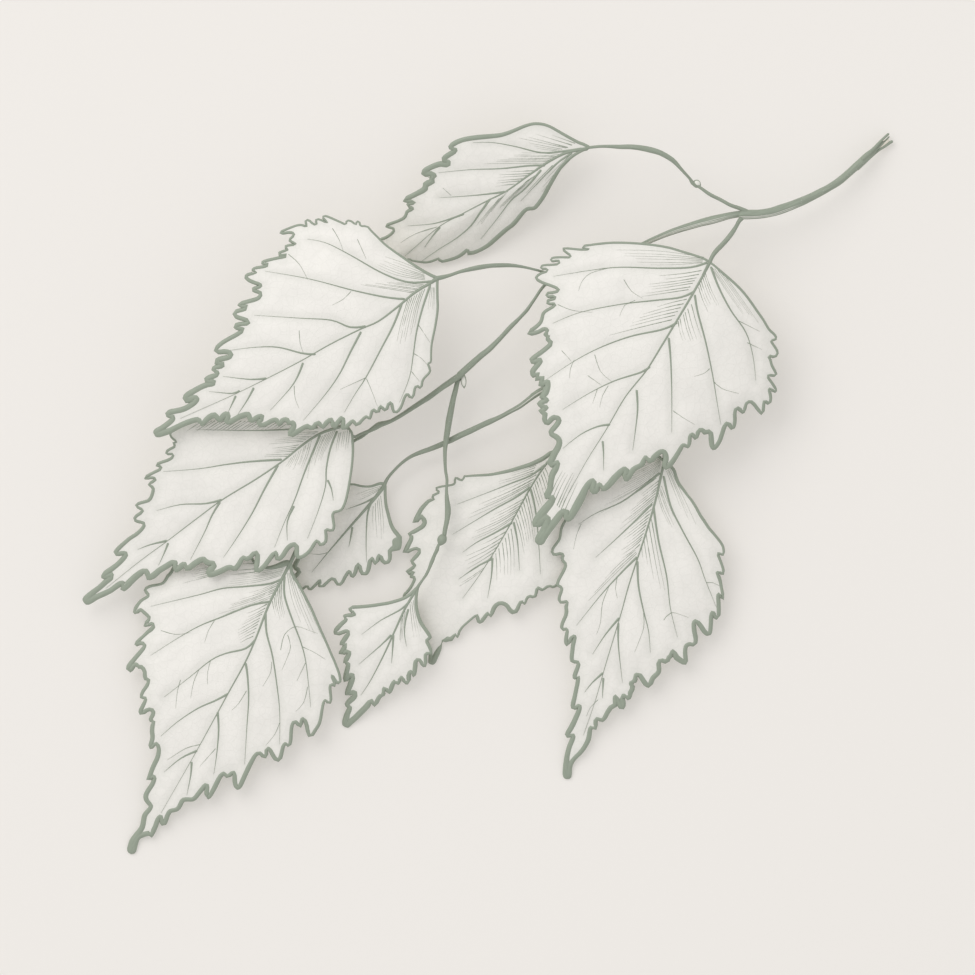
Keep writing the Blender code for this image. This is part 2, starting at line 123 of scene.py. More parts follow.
# The wood: x, y, height in millimetres, width in sketch units
WOOD = {
    "main_stem": [
        (883.5, 140.5, 1.4, 3.5), (876, 147.5, 2, 4.5), (869.5, 153.5, 2.4, 7.5), (859.5, 162.5, 3.1, 8),
        (849.5, 171.5, 3.6, 7.5), (839.5, 180, 4.2, 7.5), (829.5, 186.5, 4.7, 7), (819.5, 192, 5.2, 7.5),
        (809.5, 197, 5.7, 8), (799.5, 201.5, 6.2, 8.5), (789.5, 205.5, 6.6, 9), (779.5, 209, 7, 9.5),
        (769.5, 212, 7.4, 9), (759.5, 213.5, 7.8, 9), (749.5, 214, 8, 9.5), (741, 214, 8, 9), (737, 214.5, 8, 7.5),
    ],
    "upper_shoot": [
        (748, 212, 8.2, 5), (739.5, 208, 8.5, 4), (729.5, 204.5, 8.8, 3.5), (719.5, 199, 8.9, 3.5),
        (709.5, 194, 9, 3.5), (699.5, 187, 9, 3), (694, 183.5, 9.05, 3.5), (691, 181, 9.1, 3),
    ],
    "middle_shoot": [
        (753, 214, 8, 7.5), (739.5, 213.5, 8, 6.5), (729.5, 215, 8, 6.5), (719.5, 217.5, 8, 7.5),
        (709.5, 220, 8, 8), (699.5, 222.5, 8, 7.5), (689.5, 225.5, 8, 7), (679.5, 228.5, 8, 6.5),
        (669.5, 232, 8, 6), (659.5, 236, 8, 5.5), (649.5, 240.5, 8, 5), (615, 257, 8.2, 4.5),
        (590, 266.5, 8.4, 4.5), (568, 273, 8.5, 4.5),
    ],
    "left_shoot": [
        (574, 271, 8.5, 3), (560, 276, 8.5, 3), (544.5, 284.5, 8.4, 3), (533.5, 299.5, 8.3, 3),
        (526.5, 309.5, 8.2, 3.5), (519.5, 317, 8.2, 3.5), (509.5, 327, 8.1, 4.5), (499.5, 338, 8.1, 4.5),
        (489.5, 348, 8, 5.5), (479.5, 356, 8, 6), (469.5, 365, 8, 6.5), (457, 376, 8, 6.5),
    ],
    "end_shoot": [
        (464, 371.5, 8, 6.5), (449.5, 381.5, 8.1, 6), (439.5, 388.5, 8.4, 5.5), (429.5, 396, 8.6, 5.5),
        (419.5, 402.5, 8.9, 5), (409.5, 409, 9.1, 4.5), (399.5, 415.5, 9.4, 4), (389.5, 421, 9.6, 4),
        (379.5, 424, 9.7, 6), (374.5, 427, 9.8, 5.5), (369.5, 430, 9.9, 4), (364.5, 432.5, 10, 3),
    ],
    "lower_shoot": [
        (645, 246, 7.6, 4), (639, 262, 7.2, 4), (633, 285, 7, 4), (612, 330, 6.4, 4), (582, 366, 5.9, 5),
        (539.5, 391, 5.5, 6.5), (529.5, 398, 5.3, 5.5), (519.5, 405.5, 5.3, 5), (509.5, 411, 5.2, 4.5),
        (499.5, 416.5, 5.1, 4.5), (489.5, 421, 5.1, 5.5), (479.5, 425.5, 5, 5.5), (469.5, 430.5, 4.9, 6),
        (459.5, 435, 4.8, 6), (449.5, 440, 4.7, 6), (445, 442, 4.6, 5.5),
    ],
    "hanging_shoot": [
        (461, 371, 7.4, 4.5), (457.5, 379.5, 7, 4.5), (455, 389.5, 6.9, 5), (452.5, 399.5, 6.9, 5.5),
        (450.5, 409.5, 6.8, 6), (448.5, 419.5, 6.8, 6.5), (447, 429.5, 6.7, 6), (445.5, 439.5, 6.6, 5.5),
        (444.5, 449.5, 6.6, 4), (444.5, 459.5, 6.6, 3.5), (445, 469.5, 6.5, 3), (446.5, 479.5, 6.5, 3),
        (446, 489.5, 6.4, 3), (446.5, 499.5, 6.4, 4.5), (447.5, 509.5, 6.3, 6), (446.5, 519.5, 6.3, 5),
        (444.5, 529.5, 6.2, 4.5), (443.5, 537, 6.2, 4),
    ],
}

# The split end of the main stem: strips of bark, and the pale wood that shows between them
SPLIT_END = {
    "bark": [
        [(861.5, 159.5, 3.6, 4), (869.5, 152, 3, 4.5), (874.5, 147, 2.7, 3.5), (879.5, 141.5, 2.2, 3),
         (884.5, 136.5, 1.7, 2.5), (889, 132.5, 1.3, 2.5)],
        [(873.5, 149, 2.6, 2.5), (879.5, 144.5, 1.9, 1.5), (884.5, 140.5, 1.5, 1.5), (889.5, 135.5, 1.2, 1.5)],
        [(856, 169, 2.8, 4), (864.5, 161.5, 2.2, 3.5), (869.5, 157, 2, 3), (874.5, 152.5, 1.7, 3),
         (879.5, 148.5, 1.5, 3), (884.5, 145.5, 1.2, 3), (889.5, 142, 1.1, 3), (893, 140, 1, 3)],
    ],
    "wood": [
        [(861.5, 161, 2.4, 3), (869.5, 155, 1.9, 3), (874.5, 150, 1.6, 3.5), (879.5, 146, 1.3, 4.5),
         (884.5, 142, 1, 5), (889, 138.5, 0.9, 5)],
    ],
}

# Painted highlights: pale lanes along the shoots, with shallow grooves sunk under them. Their lanes across the
# shoot as a place and a half width from -1 to 1, and how strongly they show along it, as shares of its length
GROOVES_AND_PAINTED_HIGHLIGHTS = {
    "main_stem": (((-0.52, 0.1), (-0.78, 0.07)), {0: 0, 0.6: 0, 0.68: 0.8, 0.97: 1, 1: 0}),
    "middle_shoot": (((-0.02, 0.09), (-0.4, 0.13), (-0.74, 0.09)), {0: 0, 0.08: 0, 0.2: 0.9, 1: 1}),
    "lower_shoot": (((-0.1, 0.22),), {0: 1, 0.55: 1, 0.7: 0.8, 0.78: 0, 1: 0}),
}

# How far each scale of a bud is turned on from the last one, and how far it leans out, in degrees
SCALE_TURN = 137.5
SCALE_TILT = 9

# The buds: middle x, y, height in millimetres, then length, width and heading in degrees
BUDS = {
    "bud_upper": dict(middle=(696.8, 182.8, 8.8), length=8.6, width=6.6, heading=-33, scales=5, dark=0),
    "bud_middle": dict(middle=(463, 380.3, 7.2), length=15.5, width=6, heading=-84, scales=6, dark=0),
    "bud_hanging": dict(middle=(441.4, 539.4, 6.2), length=12.5, width=9.6, heading=-112, scales=6, dark=1.0),
}

# The leaves. out and back are the toothed margin, from the base to the tip and from the tip to
# the base, as x, y and here and there its width, and weight thickens it as a whole. heights, fold
# and cup bend the blade as the solids are bent. rib_width is the midrib's width at its start. veins
# leave the midrib, and nerves are the short ones between them. Each fan is its first hair, its last
# one, and how many there are.
LEAVES = {
    "leaf_right": dict(
        base=REFERENCE_BASE, tip=REFERENCE_TIP, heights=(13, 9, 1.8), fold=(0.02, 0.04), cup=(-2.2, -6),
        stalk=[
            (744, 215, 8, 5), (739, 220, 8.2, 4.5), (736.5, 224.5, 8.9, 4), (733.5, 229.5, 9.6, 4.5),
            (730, 234.5, 10.3, 5), (726, 239.5, 10.9, 5), (721.5, 244.5, 11.5, 5), (716.5, 249.5, 12.1, 5),
            (712.5, 254.5, 12.6, 4.5), (710, 259.5, 12.9, 4), (709, 262, 13, 4),
        ],
        midrib=[(709, 263), (690, 297), (660, 347), (645, 371), (625, 396), (605, 430), (585, 462), (563, 502)],
        rib_width=3.4,
        out="""
            702 258 2, 690 254 2, 680 251, 670 248, 660 246, 650 244.6 2, 638 243.4, 625 242.7,
            612 242.6 2, 600 243.5, 590 244.8, 584 245.6, 582.4 247, 585 248.3, 588.6 249 2, 581.5 249.5,
            572 248.7, 566 248.2, 562.6 248.6 2, 565 251.3, 569 254.2, 570.2 256 2, 568.5 257.2, 563 257.1,
            556 257.2, 551.6 257.9 2, 550.5 259.3, 552 260.8, 555.5 260.3, 558.4 260.4, 559 262.4 2,
            556.5 264.1, 551.5 264.6, 546 264.8, 541.6 265.5 2, 540.6 267.1, 542 268.2, 545.2 268.3,
            547.3 269.6, 546 271.4 2, 541.6 272.8, 537.6 275, 535.8 277.3 2.5, 537 279.2, 542.4 282.2,
            550 284.9, 556 287.4, 558.4 289.5 2.5, 557 291.2, 552.4 292.4, 547.4 293, 546.2 294.6,
            548 296.2 2.5, 552.4 295.7, 554.9 296.9, 554 298.6, 550.2 299.5 2.5, 547.4 300.5, 547 302.4,
            549.5 303.4, 553.5 303.2, 554.8 304.6 2.5, 552.4 306.7, 548 309.2, 544.5 311.5, 542.5 314.5 3,
            541.6 318.8, 540 322.4, 536 326.4, 531 330 3.5, 528.5 332.1 4, 531 332.9, 538 331.2 3.5,
            542 328.9, 545.6 328.5, 547 330.3 3.5, 545.6 332.8, 545.6 334.8 4, 547.8 336, 547.2 338.1 4,
            548.5 340, 550.5 341.7, 549.8 344.5 4, 546 348, 540.5 352.4, 535.2 356 4, 531.4 359.2,
            532.4 361 4.5, 536.2 360.5, 539.5 359.3, 540.2 360.8, 537.6 364.5 4.5, 534.2 368.5,
            532.5 371.4, 533.6 374.6 5, 537.5 373.8, 536.8 378 5.5, 541.8 377.6, 541 383 6, 547 382,
            546.6 388 6.5, 545 393 6, 542.6 396.6, 546 399.6 6, 540.2 403.5 6, 545.4 407.4, 541.6 410.5 6,
            544.8 413.6 5, 544.4 418 4.5, 545.4 421.4, 547.4 422, 550.5 418.6 4.5, 553.8 416.5, 557 417.2,
            558.8 420 4.5, 557 423.8, 553.5 428, 550.8 431.4 4.5, 551.6 433.8, 555.2 435.6, 558.4 438.6,
            559.2 442.4 5, 557.6 447.4, 554.8 452.4 5.5, 552.4 457.4, 550 462.2 5.5, 551.8 464,
            556.2 461.8, 557 463.4, 555.2 468.8 5.5, 552.4 473.8, 551 479.5, 550.2 485.2 5, 549.5 489.5,
            547.2 493.3 5.5, 547.6 496.2, 551 496.4, 552 498.8 6, 550 503, 545.6 508.5 7, 541 513.8,
            537 519.5 6.5, 535 523.3 6, 537.6 523, 541 519.6, 545.2 516.3, 547.2 518.2 6.5, 546.5 523,
            544.5 529.5 7, 541 536.6 8""",
        back="""
            541.4 536.6 7.5, 546.6 530 6.5, 552.4 522.8, 557 516.6 6, 560.2 512.8, 563.4 510.9 6,
            566.2 511.6, 566 515.2, 567.4 517.5 6, 570 515.2, 573 510 6.5, 577 502.8 7, 581 495.2 6.5,
            584.5 488 5.5, 588.5 482.4, 592 479.9 5, 593.5 482, 592.5 486.6 6, 593.4 489.8 6.5,
            595.6 489.4, 597 485.6, 598.8 483.8 4.5, 601 485.4, 601.7 487.6 5, 604.5 487, 608.8 483 5.5,
            613 478 6, 617.4 473.4 5.5, 621 470, 624 468.3 5, 626 470, 625.1 473.8 6, 624.9 476.6 6.5,
            626.6 477.3, 629.5 473 5, 632.4 468.8, 636.6 466.2 4.5, 640.5 464.2, 642.8 460.2,
            643.9 457.2 4.5, 646 457.2, 647.7 459.4, 650 459.8 4.5, 653 456.6 5, 656.6 453.1,
            660 450.9 4.5, 663.4 451.2, 665.4 454.5 4.5, 665.6 459.5, 664.3 464.2, 665.7 466.4 5,
            668.5 464.7, 673 458.8 4.5, 676.6 453.1, 680 447.4 4, 682 444.6, 684.2 444.5 3.5, 686.6 445.8,
            688.4 443, 688.8 438 3.5, 689.6 434.6, 691.2 433.5 3.5, 693 434.8, 694.2 437 4, 696 435.6,
            697 431.6, 699 429.3 4, 701.6 429.4, 704.2 431.5 4.5, 708 430.8, 710.2 432.5 4,
            710.8 437.4 4.5, 711.4 443.8, 713 447.3 4, 715.6 445.2, 719 439.5 4, 721.4 432.4,
            723.5 426.2 4, 726.2 422.8, 728.9 423.9 4, 731 427, 732.9 426.2 3.5, 734 420.2,
            733.8 413.8 3.5, 734.8 408.8, 737 407.4 3.5, 739.5 409, 741.6 411.3 3.5, 743.2 410.5,
            744.5 406, 745.7 402.6 3, 748 401, 751 401.3 3, 754.5 404.8, 758.3 409.8 3, 761 412.7,
            762.4 410.2 3, 762.8 405.2, 763.5 400.7 3, 765.5 401, 767.4 402.7, 769.2 401.4 3, 769.9 397.4,
            769.2 393 3, 768.1 389.3, 769 388 2.5, 771.6 389.5, 774.2 391, 775.3 389.8 2.5, 773.8 386.4,
            770.2 381.2, 767.3 377.1 2.5, 767.3 375, 769.8 374.5, 773.5 375 2.5, 775.3 373.7, 773.8 370.2,
            771 365, 769.5 359.5 2.5, 767.9 356.4, 769.2 355.2, 772.4 356.2 2.5, 775.2 355.4, 776.7 352.6,
            775.6 349, 772.4 344.2 2.3, 770.3 341, 771.6 339.6, 774.8 338.7 2.3, 775.1 336.4, 772.4 333,
            768 328.8 2.2, 762.4 319.5, 756.4 311, 749.5 301 2.2, 742.4 292, 735.2 284.5, 728 278,
            721 272 2.2, 713.8 265.6 1.8""",
        veins=[
            [(707, 262), (690, 267), (660, 268), (620, 267), (590, 270), (553, 276)],
            [(694, 291), (680, 297), (655, 300), (620, 304), (580, 312), (552, 323)],
            [(677, 322), (662, 329), (630, 336), (600, 347), (575, 360), (546, 379)],
            [(650, 366), (640, 372), (615, 380), (590, 392), (562, 409)],
            [(610, 424), (597, 426), (580, 434), (562, 448)],
            [(710, 266), (718, 287), (730, 310), (745, 332), (752, 355), (755, 380)],
            [(694, 294), (697, 312), (705, 342), (712, 376), (716, 400), (720, 424)],
            [(668, 337), (670, 360), (671, 392), (671, 432)],
            [(636, 389), (637, 408), (635, 428), (632, 450)],
            [(602, 440), (603, 452), (603, 470)],
        ],
        nerves=[
            [(611, 267), (590, 273), (581, 282), (578, 291)], [(623, 279), (631, 291), (642, 298)],
            [(635, 300), (624, 305), (619, 316)], [(557, 304), (572, 310), (592, 312)],
            [(561, 350), (571, 361)], [(574, 359), (570, 368), (569, 378)], [(594, 354), (600, 371), (611, 381)],
            [(587, 375), (601, 385)], [(608, 385), (602, 395), (599, 407)], [(597, 388), (592, 403)],
            [(709, 368), (703, 373), (693, 376)], [(712, 380), (721, 388), (738, 393)],
            [(737, 320), (759, 331)], [(746, 342), (761, 349)], [(672, 410), (682, 417), (694, 424)],
        ],
        fans=[
            ([(703, 257), (660, 251), (606, 249.5)], [(702, 262.5), (668, 265), (638, 264.5)], 6),
            ([(701, 270.5), (684, 273.5), (658, 276)], [(688, 289.5), (655, 294.5), (630, 298)], 7),
            ([(686, 299.5), (670, 303), (650, 309)], [(672, 318.5), (645, 325), (610, 334)], 6),
            ([(703.5, 268.5), (711, 290), (721, 309)], [(698, 286), (702, 299), (708, 312)], 6),
            ([(690, 304), (695, 323), (702, 343)], [(677, 321), (679, 333), (684, 347)], 6),
            ([(710, 267), (727, 293), (745, 318)], [(720, 269.5), (740, 297), (761, 327)], 6),
            ([(549, 498), (556, 482), (565, 466)], [(563, 512), (571, 494), (579, 477)], 7),
        ],
    ),
    "leaf_upper_left": dict(
        base=(437, 278), tip=(154, 434), heights=(16, 13, 2.6), fold=(0.03, 0.02), cup=(-4, -3), weight=1.24,
        stalk=[
            (572, 271, 8.5, 3), (560, 272, 9, 2.5), (547, 272, 9.6, 2.5), (539.5, 270.5, 10.1, 2.5),
            (529.5, 268, 10.8, 2.5), (519.5, 266, 11.5, 3), (509.5, 265, 12.2, 4), (499.5, 265, 12.9, 4.5),
            (489.5, 265.5, 13.7, 4.5), (479.5, 267, 14.3, 5), (469.5, 269, 14.9, 4.5), (459.5, 271.5, 15.4, 3.5),
            (449.5, 275, 15.8, 3.5), (442, 277, 15.9, 4.5), (437, 278, 16, 5),
        ],
        midrib=[
            (435, 280), (415, 292), (398, 306), (378, 321), (360, 329), (330, 344), (300, 361), (265, 379),
            (230, 396), (180, 418),
        ],
        rib_width=4,
        out="""
            431 275.5 3, 423.8 271.6, 416.6 267 2.5, 409.5 262.4, 401 256.4 2.2, 392.4 250.4,
            383.8 243.8 2, 376.6 236.6, 370.2 230.2 2, 367.5 227, 364.5 226.2, 361.6 226.2 2, 359.8 225.2,
            359 222.5, 357.4 221.3, 356.2 222.4 2, 355.9 224.3, 353.8 223.5, 351 221.4, 347.8 220.5 2,
            346.2 221.5, 346 223.4, 344.4 224.2 2, 341 222.6, 335.2 220, 329.5 217.5 2.2, 325.2 216,
            323.1 216.5, 323.2 218.2 2.2, 325.2 220.3, 327 222.1, 326 222.8 2, 322.4 220.9, 318 219.2,
            316 219.9 2.2, 316 221.8, 316.4 223.8, 314.5 224.6 2.2, 311.6 223.1, 309.5 220.9, 307 220 2.3,
            305.5 221, 306 223.8, 306.4 226.2 2.3, 304.5 226.2, 301 225, 296.6 225.5 2.3, 291 227.4,
            285.2 229.8, 281.6 231.4 2.5, 280.5 232.5, 282.4 233.1, 288.8 232.2 2.5, 292.6 232.8,
            293.8 234.3, 292.6 236.6 2.5, 290.2 238.8, 289.6 240.3, 291.6 241.7 2.5, 294.5 243.1,
            295.4 244.2, 293 244.8 2.5, 288.8 245.3, 285.6 246.3, 286 248.2 2.7, 287.3 249.3, 286 250.3,
            282.4 251.5 2.7, 279.3 252.9, 279.6 254.8 3, 282.4 255.2, 285.8 254.6, 285 256.6 3,
            279.5 257.7, 272.4 259.2, 266.6 260.6 3, 262.9 261.7, 262.7 263.4, 265.2 263.8 3, 267.5 263.7,
            266.9 265.6, 262.4 266.9 3, 256.6 267.8, 253.2 269, 253.2 270.6 3, 255.8 272, 254.4 273.2,
            249.5 274.1 3.2, 246.5 275.6, 246.3 277.5 3.5, 249.5 280.2, 255.2 282.6 3.5, 260 284.2,
            260.6 286 3.5, 257.4 287.5, 253.7 288.5, 253.9 290.2 3.5, 257.4 291.3, 260.2 292.5,
            260.6 295.2 3.7, 258.8 297.8, 254.5 299.8 4, 248 301.5, 242.4 303.1 4, 239.6 305, 242.4 306.2,
            246.6 306 4, 245.2 308.8, 241 310.2 4, 236.6 311.3, 234.6 313.8 4, 236.6 316.4, 241.6 318.1 4,
            246.6 319.8, 248.7 322 4.2, 246.6 323.5, 241.6 323.9 4, 236.6 324.8, 235.7 327 4, 239.5 328.1,
            243 328.9, 241.6 331.2 4, 236 335, 228.8 338.8 4, 222.4 342.7, 217.4 347 4, 216 349.8,
            218.8 351.4 4.5, 224.5 351, 229.5 352.2, 231.1 354.5 5, 229.5 356.8, 223.8 358.4 5, 218 359.8,
            216.7 362 5, 219.4 363, 222.4 363.2, 222.3 365.6 5, 218.4 366.6, 214.6 367.6 4.5, 213.9 369.6,
            216.5 371, 217.5 373 4.5, 216 375, 211 376.9 5, 207 379, 207.5 381 5.5, 211.6 381, 214.1 381.8,
            213 383.5 5, 207.4 384.5, 201 387 5, 193.8 391, 188 394.5 5.5, 185.8 397.4, 187 399.4 6,
            191 398.2, 195.2 397, 196.8 398.5 6, 195 401.6, 190.2 405.5 5, 183.8 408.8, 176.6 410.7 5,
            170.2 411.8, 167.8 413.6 5, 169 415.2, 172.3 416, 173 418.2 5, 171 421, 166 425 5, 161 428.6,
            156.8 431 5.5""",
        back="""
            161 432.6 6, 168.8 430.2 5.5, 177.4 426 5, 185.2 422.4, 192.4 419.9 5, 197.4 418.9,
            200.2 420.4 5, 201.6 423, 203.8 421.5 5, 207.4 417.8, 211.6 415 5.5, 214.8 414.4,
            217 416.5 5.5, 219.5 418.7, 222 416.4, 225.2 413.7 6, 227.3 413.8, 228 416.6 6, 226.8 420,
            228.2 421.5 5, 231.6 420.2, 237.4 417 5, 243 414.6, 248 413.7 5.5, 249.5 416, 250.6 419 5.5,
            252.4 419.4, 256.6 417 5, 260.2 415.4, 262.3 416.5 5, 261 419.5, 259 422.4 5, 261 424.4,
            266 423 4.5, 271 420.3, 275.2 419 4.5, 277.3 420.3, 278.8 422.9 5, 281.6 420.3,
            285.2 418.6 4.5, 287.4 419.6, 288.9 422.4 5, 291.6 421.7, 293.7 423.2 5, 293.8 426.6,
            291.7 430.2 5, 290.1 433.6, 292.4 433.7 5, 298 430.2, 303.8 426.7 4.5, 307.4 425.4,
            309.6 426.8 4.5, 312.4 427, 315.2 423.6, 318 422.1 4.5, 320.2 423.8, 322.4 426.2 4.5,
            325.2 423, 328.8 419.7 4.5, 331.5 419.3, 332.5 422.4, 333.9 425.8 4.5, 337.4 421.6,
            340.9 417.6 4.5, 343 418.9, 343.1 423.8 4, 342.8 427.3, 345.2 426.8 4, 349.5 422.6,
            352.4 420.4 3.5, 354 421.7, 355.9 424 3.5, 358.8 422.6, 363 418.1 3, 366 416.1, 367.8 417,
            369.4 417.6 3, 370.6 413.8, 371.7 410.3 3, 373.5 409.2, 375.9 411.2 3, 378 410.8, 378.9 407.4,
            380.2 405.7 3, 382.4 407.5, 384.5 409.4 3, 386.4 408, 387.8 403.8, 389.8 402.1 3, 391.6 403.8,
            392.4 408 2.8, 393.8 411.3, 396.4 411.3 2.8, 399.5 408, 401.6 403.8 2.6, 403.8 397.4,
            405.9 394, 407.8 394 2.6, 409.5 396.3, 411.6 397, 413 394.5 2.5, 413.9 389.5, 415.2 386.3 2.5,
            417.4 385.6, 419.5 387.2, 421.1 385.2 2.5, 421.7 381, 423.8 377.4 2.3, 427.4 373.8,
            429.4 370.6 2.3, 428.8 367.4, 427.5 364.2, 428.1 362.7 2, 429.9 362, 430.4 359.5 2,
            430.5 352.4, 430.9 345.2 2, 432.4 336.6, 434.5 326.6 2.2, 437 309.5 2.3, 436.7 295.2,
            436.6 284 2.5""",
        veins=[
            [(433, 281), (408, 282), (382, 273), (350, 255), (326, 243), (307, 239)],
            [(405, 299), (385, 297), (352, 290), (310, 279), (265, 271)],
            [(366, 326), (350, 327), (331, 320), (300, 318), (254, 315)],
            [(316, 354), (302, 353), (278, 347), (255, 347), (230, 350)],
            [(267, 378), (250, 379), (223, 376)],
            [(240, 390), (232, 393), (209, 391)],
            [(430, 284), (422, 308), (416, 332), (413, 353), (409, 377), (399, 402)],
            [(402, 302), (393, 325), (380, 350), (365, 378), (355, 393), (344, 412)],
            [(361, 331), (350, 352), (339, 374), (325, 394), (303, 420)],
            [(303, 362), (298, 375), (290, 388), (270, 410)],
            [(254, 387), (247, 400), (237, 415)],
            [(236, 395), (228, 412)],
        ],
        nerves=[
            [(332, 228), (339, 240), (343, 251)], [(357, 239), (366, 259)], [(288, 254), (299, 264), (308, 280)],
            [(351, 291), (343, 299), (332, 305)], [(299, 330), (300, 343), (303, 352)],
            [(294, 385), (295, 398), (299, 408)], [(366, 377), (353, 383), (340, 389)],
            [(366, 378), (372, 392), (377, 406)], [(417, 323), (430, 343)], [(413, 353), (421, 358), (427, 365)],
            [(411, 371), (419, 381)],
        ],
        fans=[
            ([(424, 272.5), (408, 265), (384, 256.5)], [(425, 279.8), (396, 275), (370, 264)], 7),
            ([(424, 284.5), (410, 283), (392, 281.5)], [(413, 293), (392, 289.5), (360, 284.5)], 7),
            ([(407, 300), (401, 320), (395, 346)], [(425, 288), (419, 304), (412, 338)], 8),
            ([(430.5, 287), (428.5, 299), (427.5, 309)], [(434, 287), (434, 302), (433.3, 317)], 4),
        ],
    ),
    "leaf_top": dict(
        base=(589, 147), tip=(354, 278), heights=(9, 0.23, 2), fold=(0.12, -0.62), cup=(1, 0),
        stalk=[
            (697, 187, 9, 3), (692, 182.5, 9.1, 4), (689.5, 178.5, 9.3, 3), (684.5, 173, 9.7, 3),
            (679.5, 167.5, 10.1, 3.5), (674.5, 162, 10.5, 4.5), (669.5, 158, 10.7, 5), (659.5, 152.5, 11, 5.5),
            (649.5, 149.5, 11, 6), (639.5, 147.5, 10.9, 5.5), (629.5, 146.5, 10.7, 5), (619.5, 146.5, 10.3, 4.5),
            (609.5, 146, 9.9, 3.5), (599.5, 146, 9.5, 3), (589, 147, 9, 3),
        ],
        midrib=[
            (588, 148), (566, 152), (545, 163), (525, 177), (505, 191), (485, 201), (460, 214), (440, 225),
            (418, 243), (404, 255),
        ],
        rib_width=4.4,
        out="""
            583 144 2.5, 577.4 141.9, 571 138.5 2.5, 563.8 134.5, 556.6 130.3, 549.5 126.4 2.3, 542.4 124,
            535.2 123.4, 529.5 124.2 2.5, 522.4 126.5, 513.8 130.2 3, 506.6 133, 499.5 134.9 3.5,
            489.5 136, 479.5 136.9 4, 470.5 138, 463 139.5 4, 456.6 141.8, 452.5 144.2, 450.6 146 4.5,
            451.4 147.7, 454.4 148.6, 454.8 150.2 4.5, 451.6 152.6, 447.4 155.2 4.5, 444.2 157.8,
            444.6 159.8 5, 447.7 161, 448 163.3, 445.2 164.4 5, 440.2 163.6, 435.2 165, 429.5 167.4 4.5,
            424.6 170.3, 423.5 172.2 5, 426 173.3, 429.5 172.8, 432.5 174, 433.6 176.4 6, 431 177.6,
            432.2 180.5 5.5, 428.8 182.4, 425.4 184.6, 425.3 187.3 5.5, 423 189.8, 418 192.4 4.5,
            412.4 195.2, 406.8 197.8 4, 404.3 199.5, 406 200.6, 411 200.5 3.5, 413.9 201.3, 412.2 202.6,
            408.8 203.2 3, 407.5 204.5, 409.2 206, 411.8 206.9, 412 208.4 3, 408.8 209.8, 406.6 211.3,
            405.5 214.5 2.8, 403.5 217.3, 398 220.2 2.5, 392.4 222.2, 387 224.2, 386 225.8 2.5,
            390.2 226.7, 393 227.8, 393.4 230.2 2.5, 390.2 233.8, 385.2 237, 379.5 239.3 2.5, 372 246,
            374 252, 362 262 2""",
        back="""
            372 274 2, 385 264, 392 266, 407 258.3 2, 411 259.4, 418 260.6 2.2, 425.2 261.3, 431 260.2 2.5,
            435.2 258.5, 437.8 257.6 2.5, 439.2 259.2, 441.5 260.3 3, 449.5 258.5, 456.6 256 3.5,
            462.4 252.4, 466 249.4 4, 467.9 250.4, 468.1 252 4.5, 473 251.4, 479.5 248.8 4, 488 243.8,
            496.6 236.3 4.5, 505.2 228.8, 512.4 223.3 4.5, 518 216.7, 522.4 211.4 4, 526 208.3,
            529.5 207.5 4, 533.8 207, 538 202.4 4, 543 195.2, 548 186 4, 553 177.4, 558 169.5 3.5,
            563.8 162.4 3, 569.5 157.4, 575.2 153.4 2.5, 581 150.2, 586 148 2.5""",
        veins=[
            [(582, 148), (560, 151), (540, 152), (515, 146), (492, 142), (472, 142)],
            [(545, 165), (530, 165), (500, 168), (470, 169), (438, 172)],
            [(505, 191), (490, 193), (470, 195), (439, 197)],
            [(464, 213), (450, 218), (432, 223), (407, 225)],
            [(572, 152), (556, 163), (540, 179), (520, 200)],
            [(541, 169), (525, 187), (510, 200), (497, 217), (480, 238)],
            [(490, 198), (480, 211), (470, 225), (456, 237), (440, 247), (421, 260)],
            [(440, 226), (432, 235), (424, 246)],
        ],
        nerves=[[(437, 226), (415, 233), (400, 242)], [(442, 187), (451, 195)]],
        fans=[
            ([(575, 143), (558, 137), (539, 130)], [(568, 147), (543, 140.5), (517, 133.5)], 3),
            ([(566, 147.6), (542, 142.5), (518, 137.5)], [(556, 150.5), (543, 149), (530, 147)], 4),
            ([(558, 154), (541, 153), (520, 152.5)], [(544, 162.5), (522, 162.5), (484, 163)], 7),
            ([(538, 169.5), (520, 170.5), (500, 171)], [(515, 183), (505, 184), (495, 185.5)], 6),
            ([(571, 153), (556, 167), (540, 184)], [(577, 152), (565, 164), (538, 195)], 3),
            ([(551, 165), (538, 178), (524, 193)], [(559, 161), (546, 173), (531, 189)], 2),
            ([(528, 179), (511, 194), (495, 210)], [(538, 172), (521, 188), (507, 202)], 4),
            ([(499, 197), (486, 212), (473, 228)], [(508, 190), (495, 205), (484, 221)], 4),
        ],
    ),
    "leaf_left": dict(
        base=(345, 424), tip=(83, 602), heights=(12, 4, 1), fold=(0.04, 0.02), cup=(0.6, -1.2),
        stalk=[
            (369.5, 430, 9.9, 3.5), (359.5, 434, 10.5, 3), (354.5, 436.5, 11, 3), (351, 435, 11.4, 3),
            (347.5, 429, 11.9, 3), (345, 424, 12, 3),
        ],
        midrib=[
            (344, 425), (320, 433), (300, 446), (283, 460), (255, 479), (222, 499), (195, 519), (166, 541),
            (140, 560), (105, 588),
        ],
        rib_width=4,
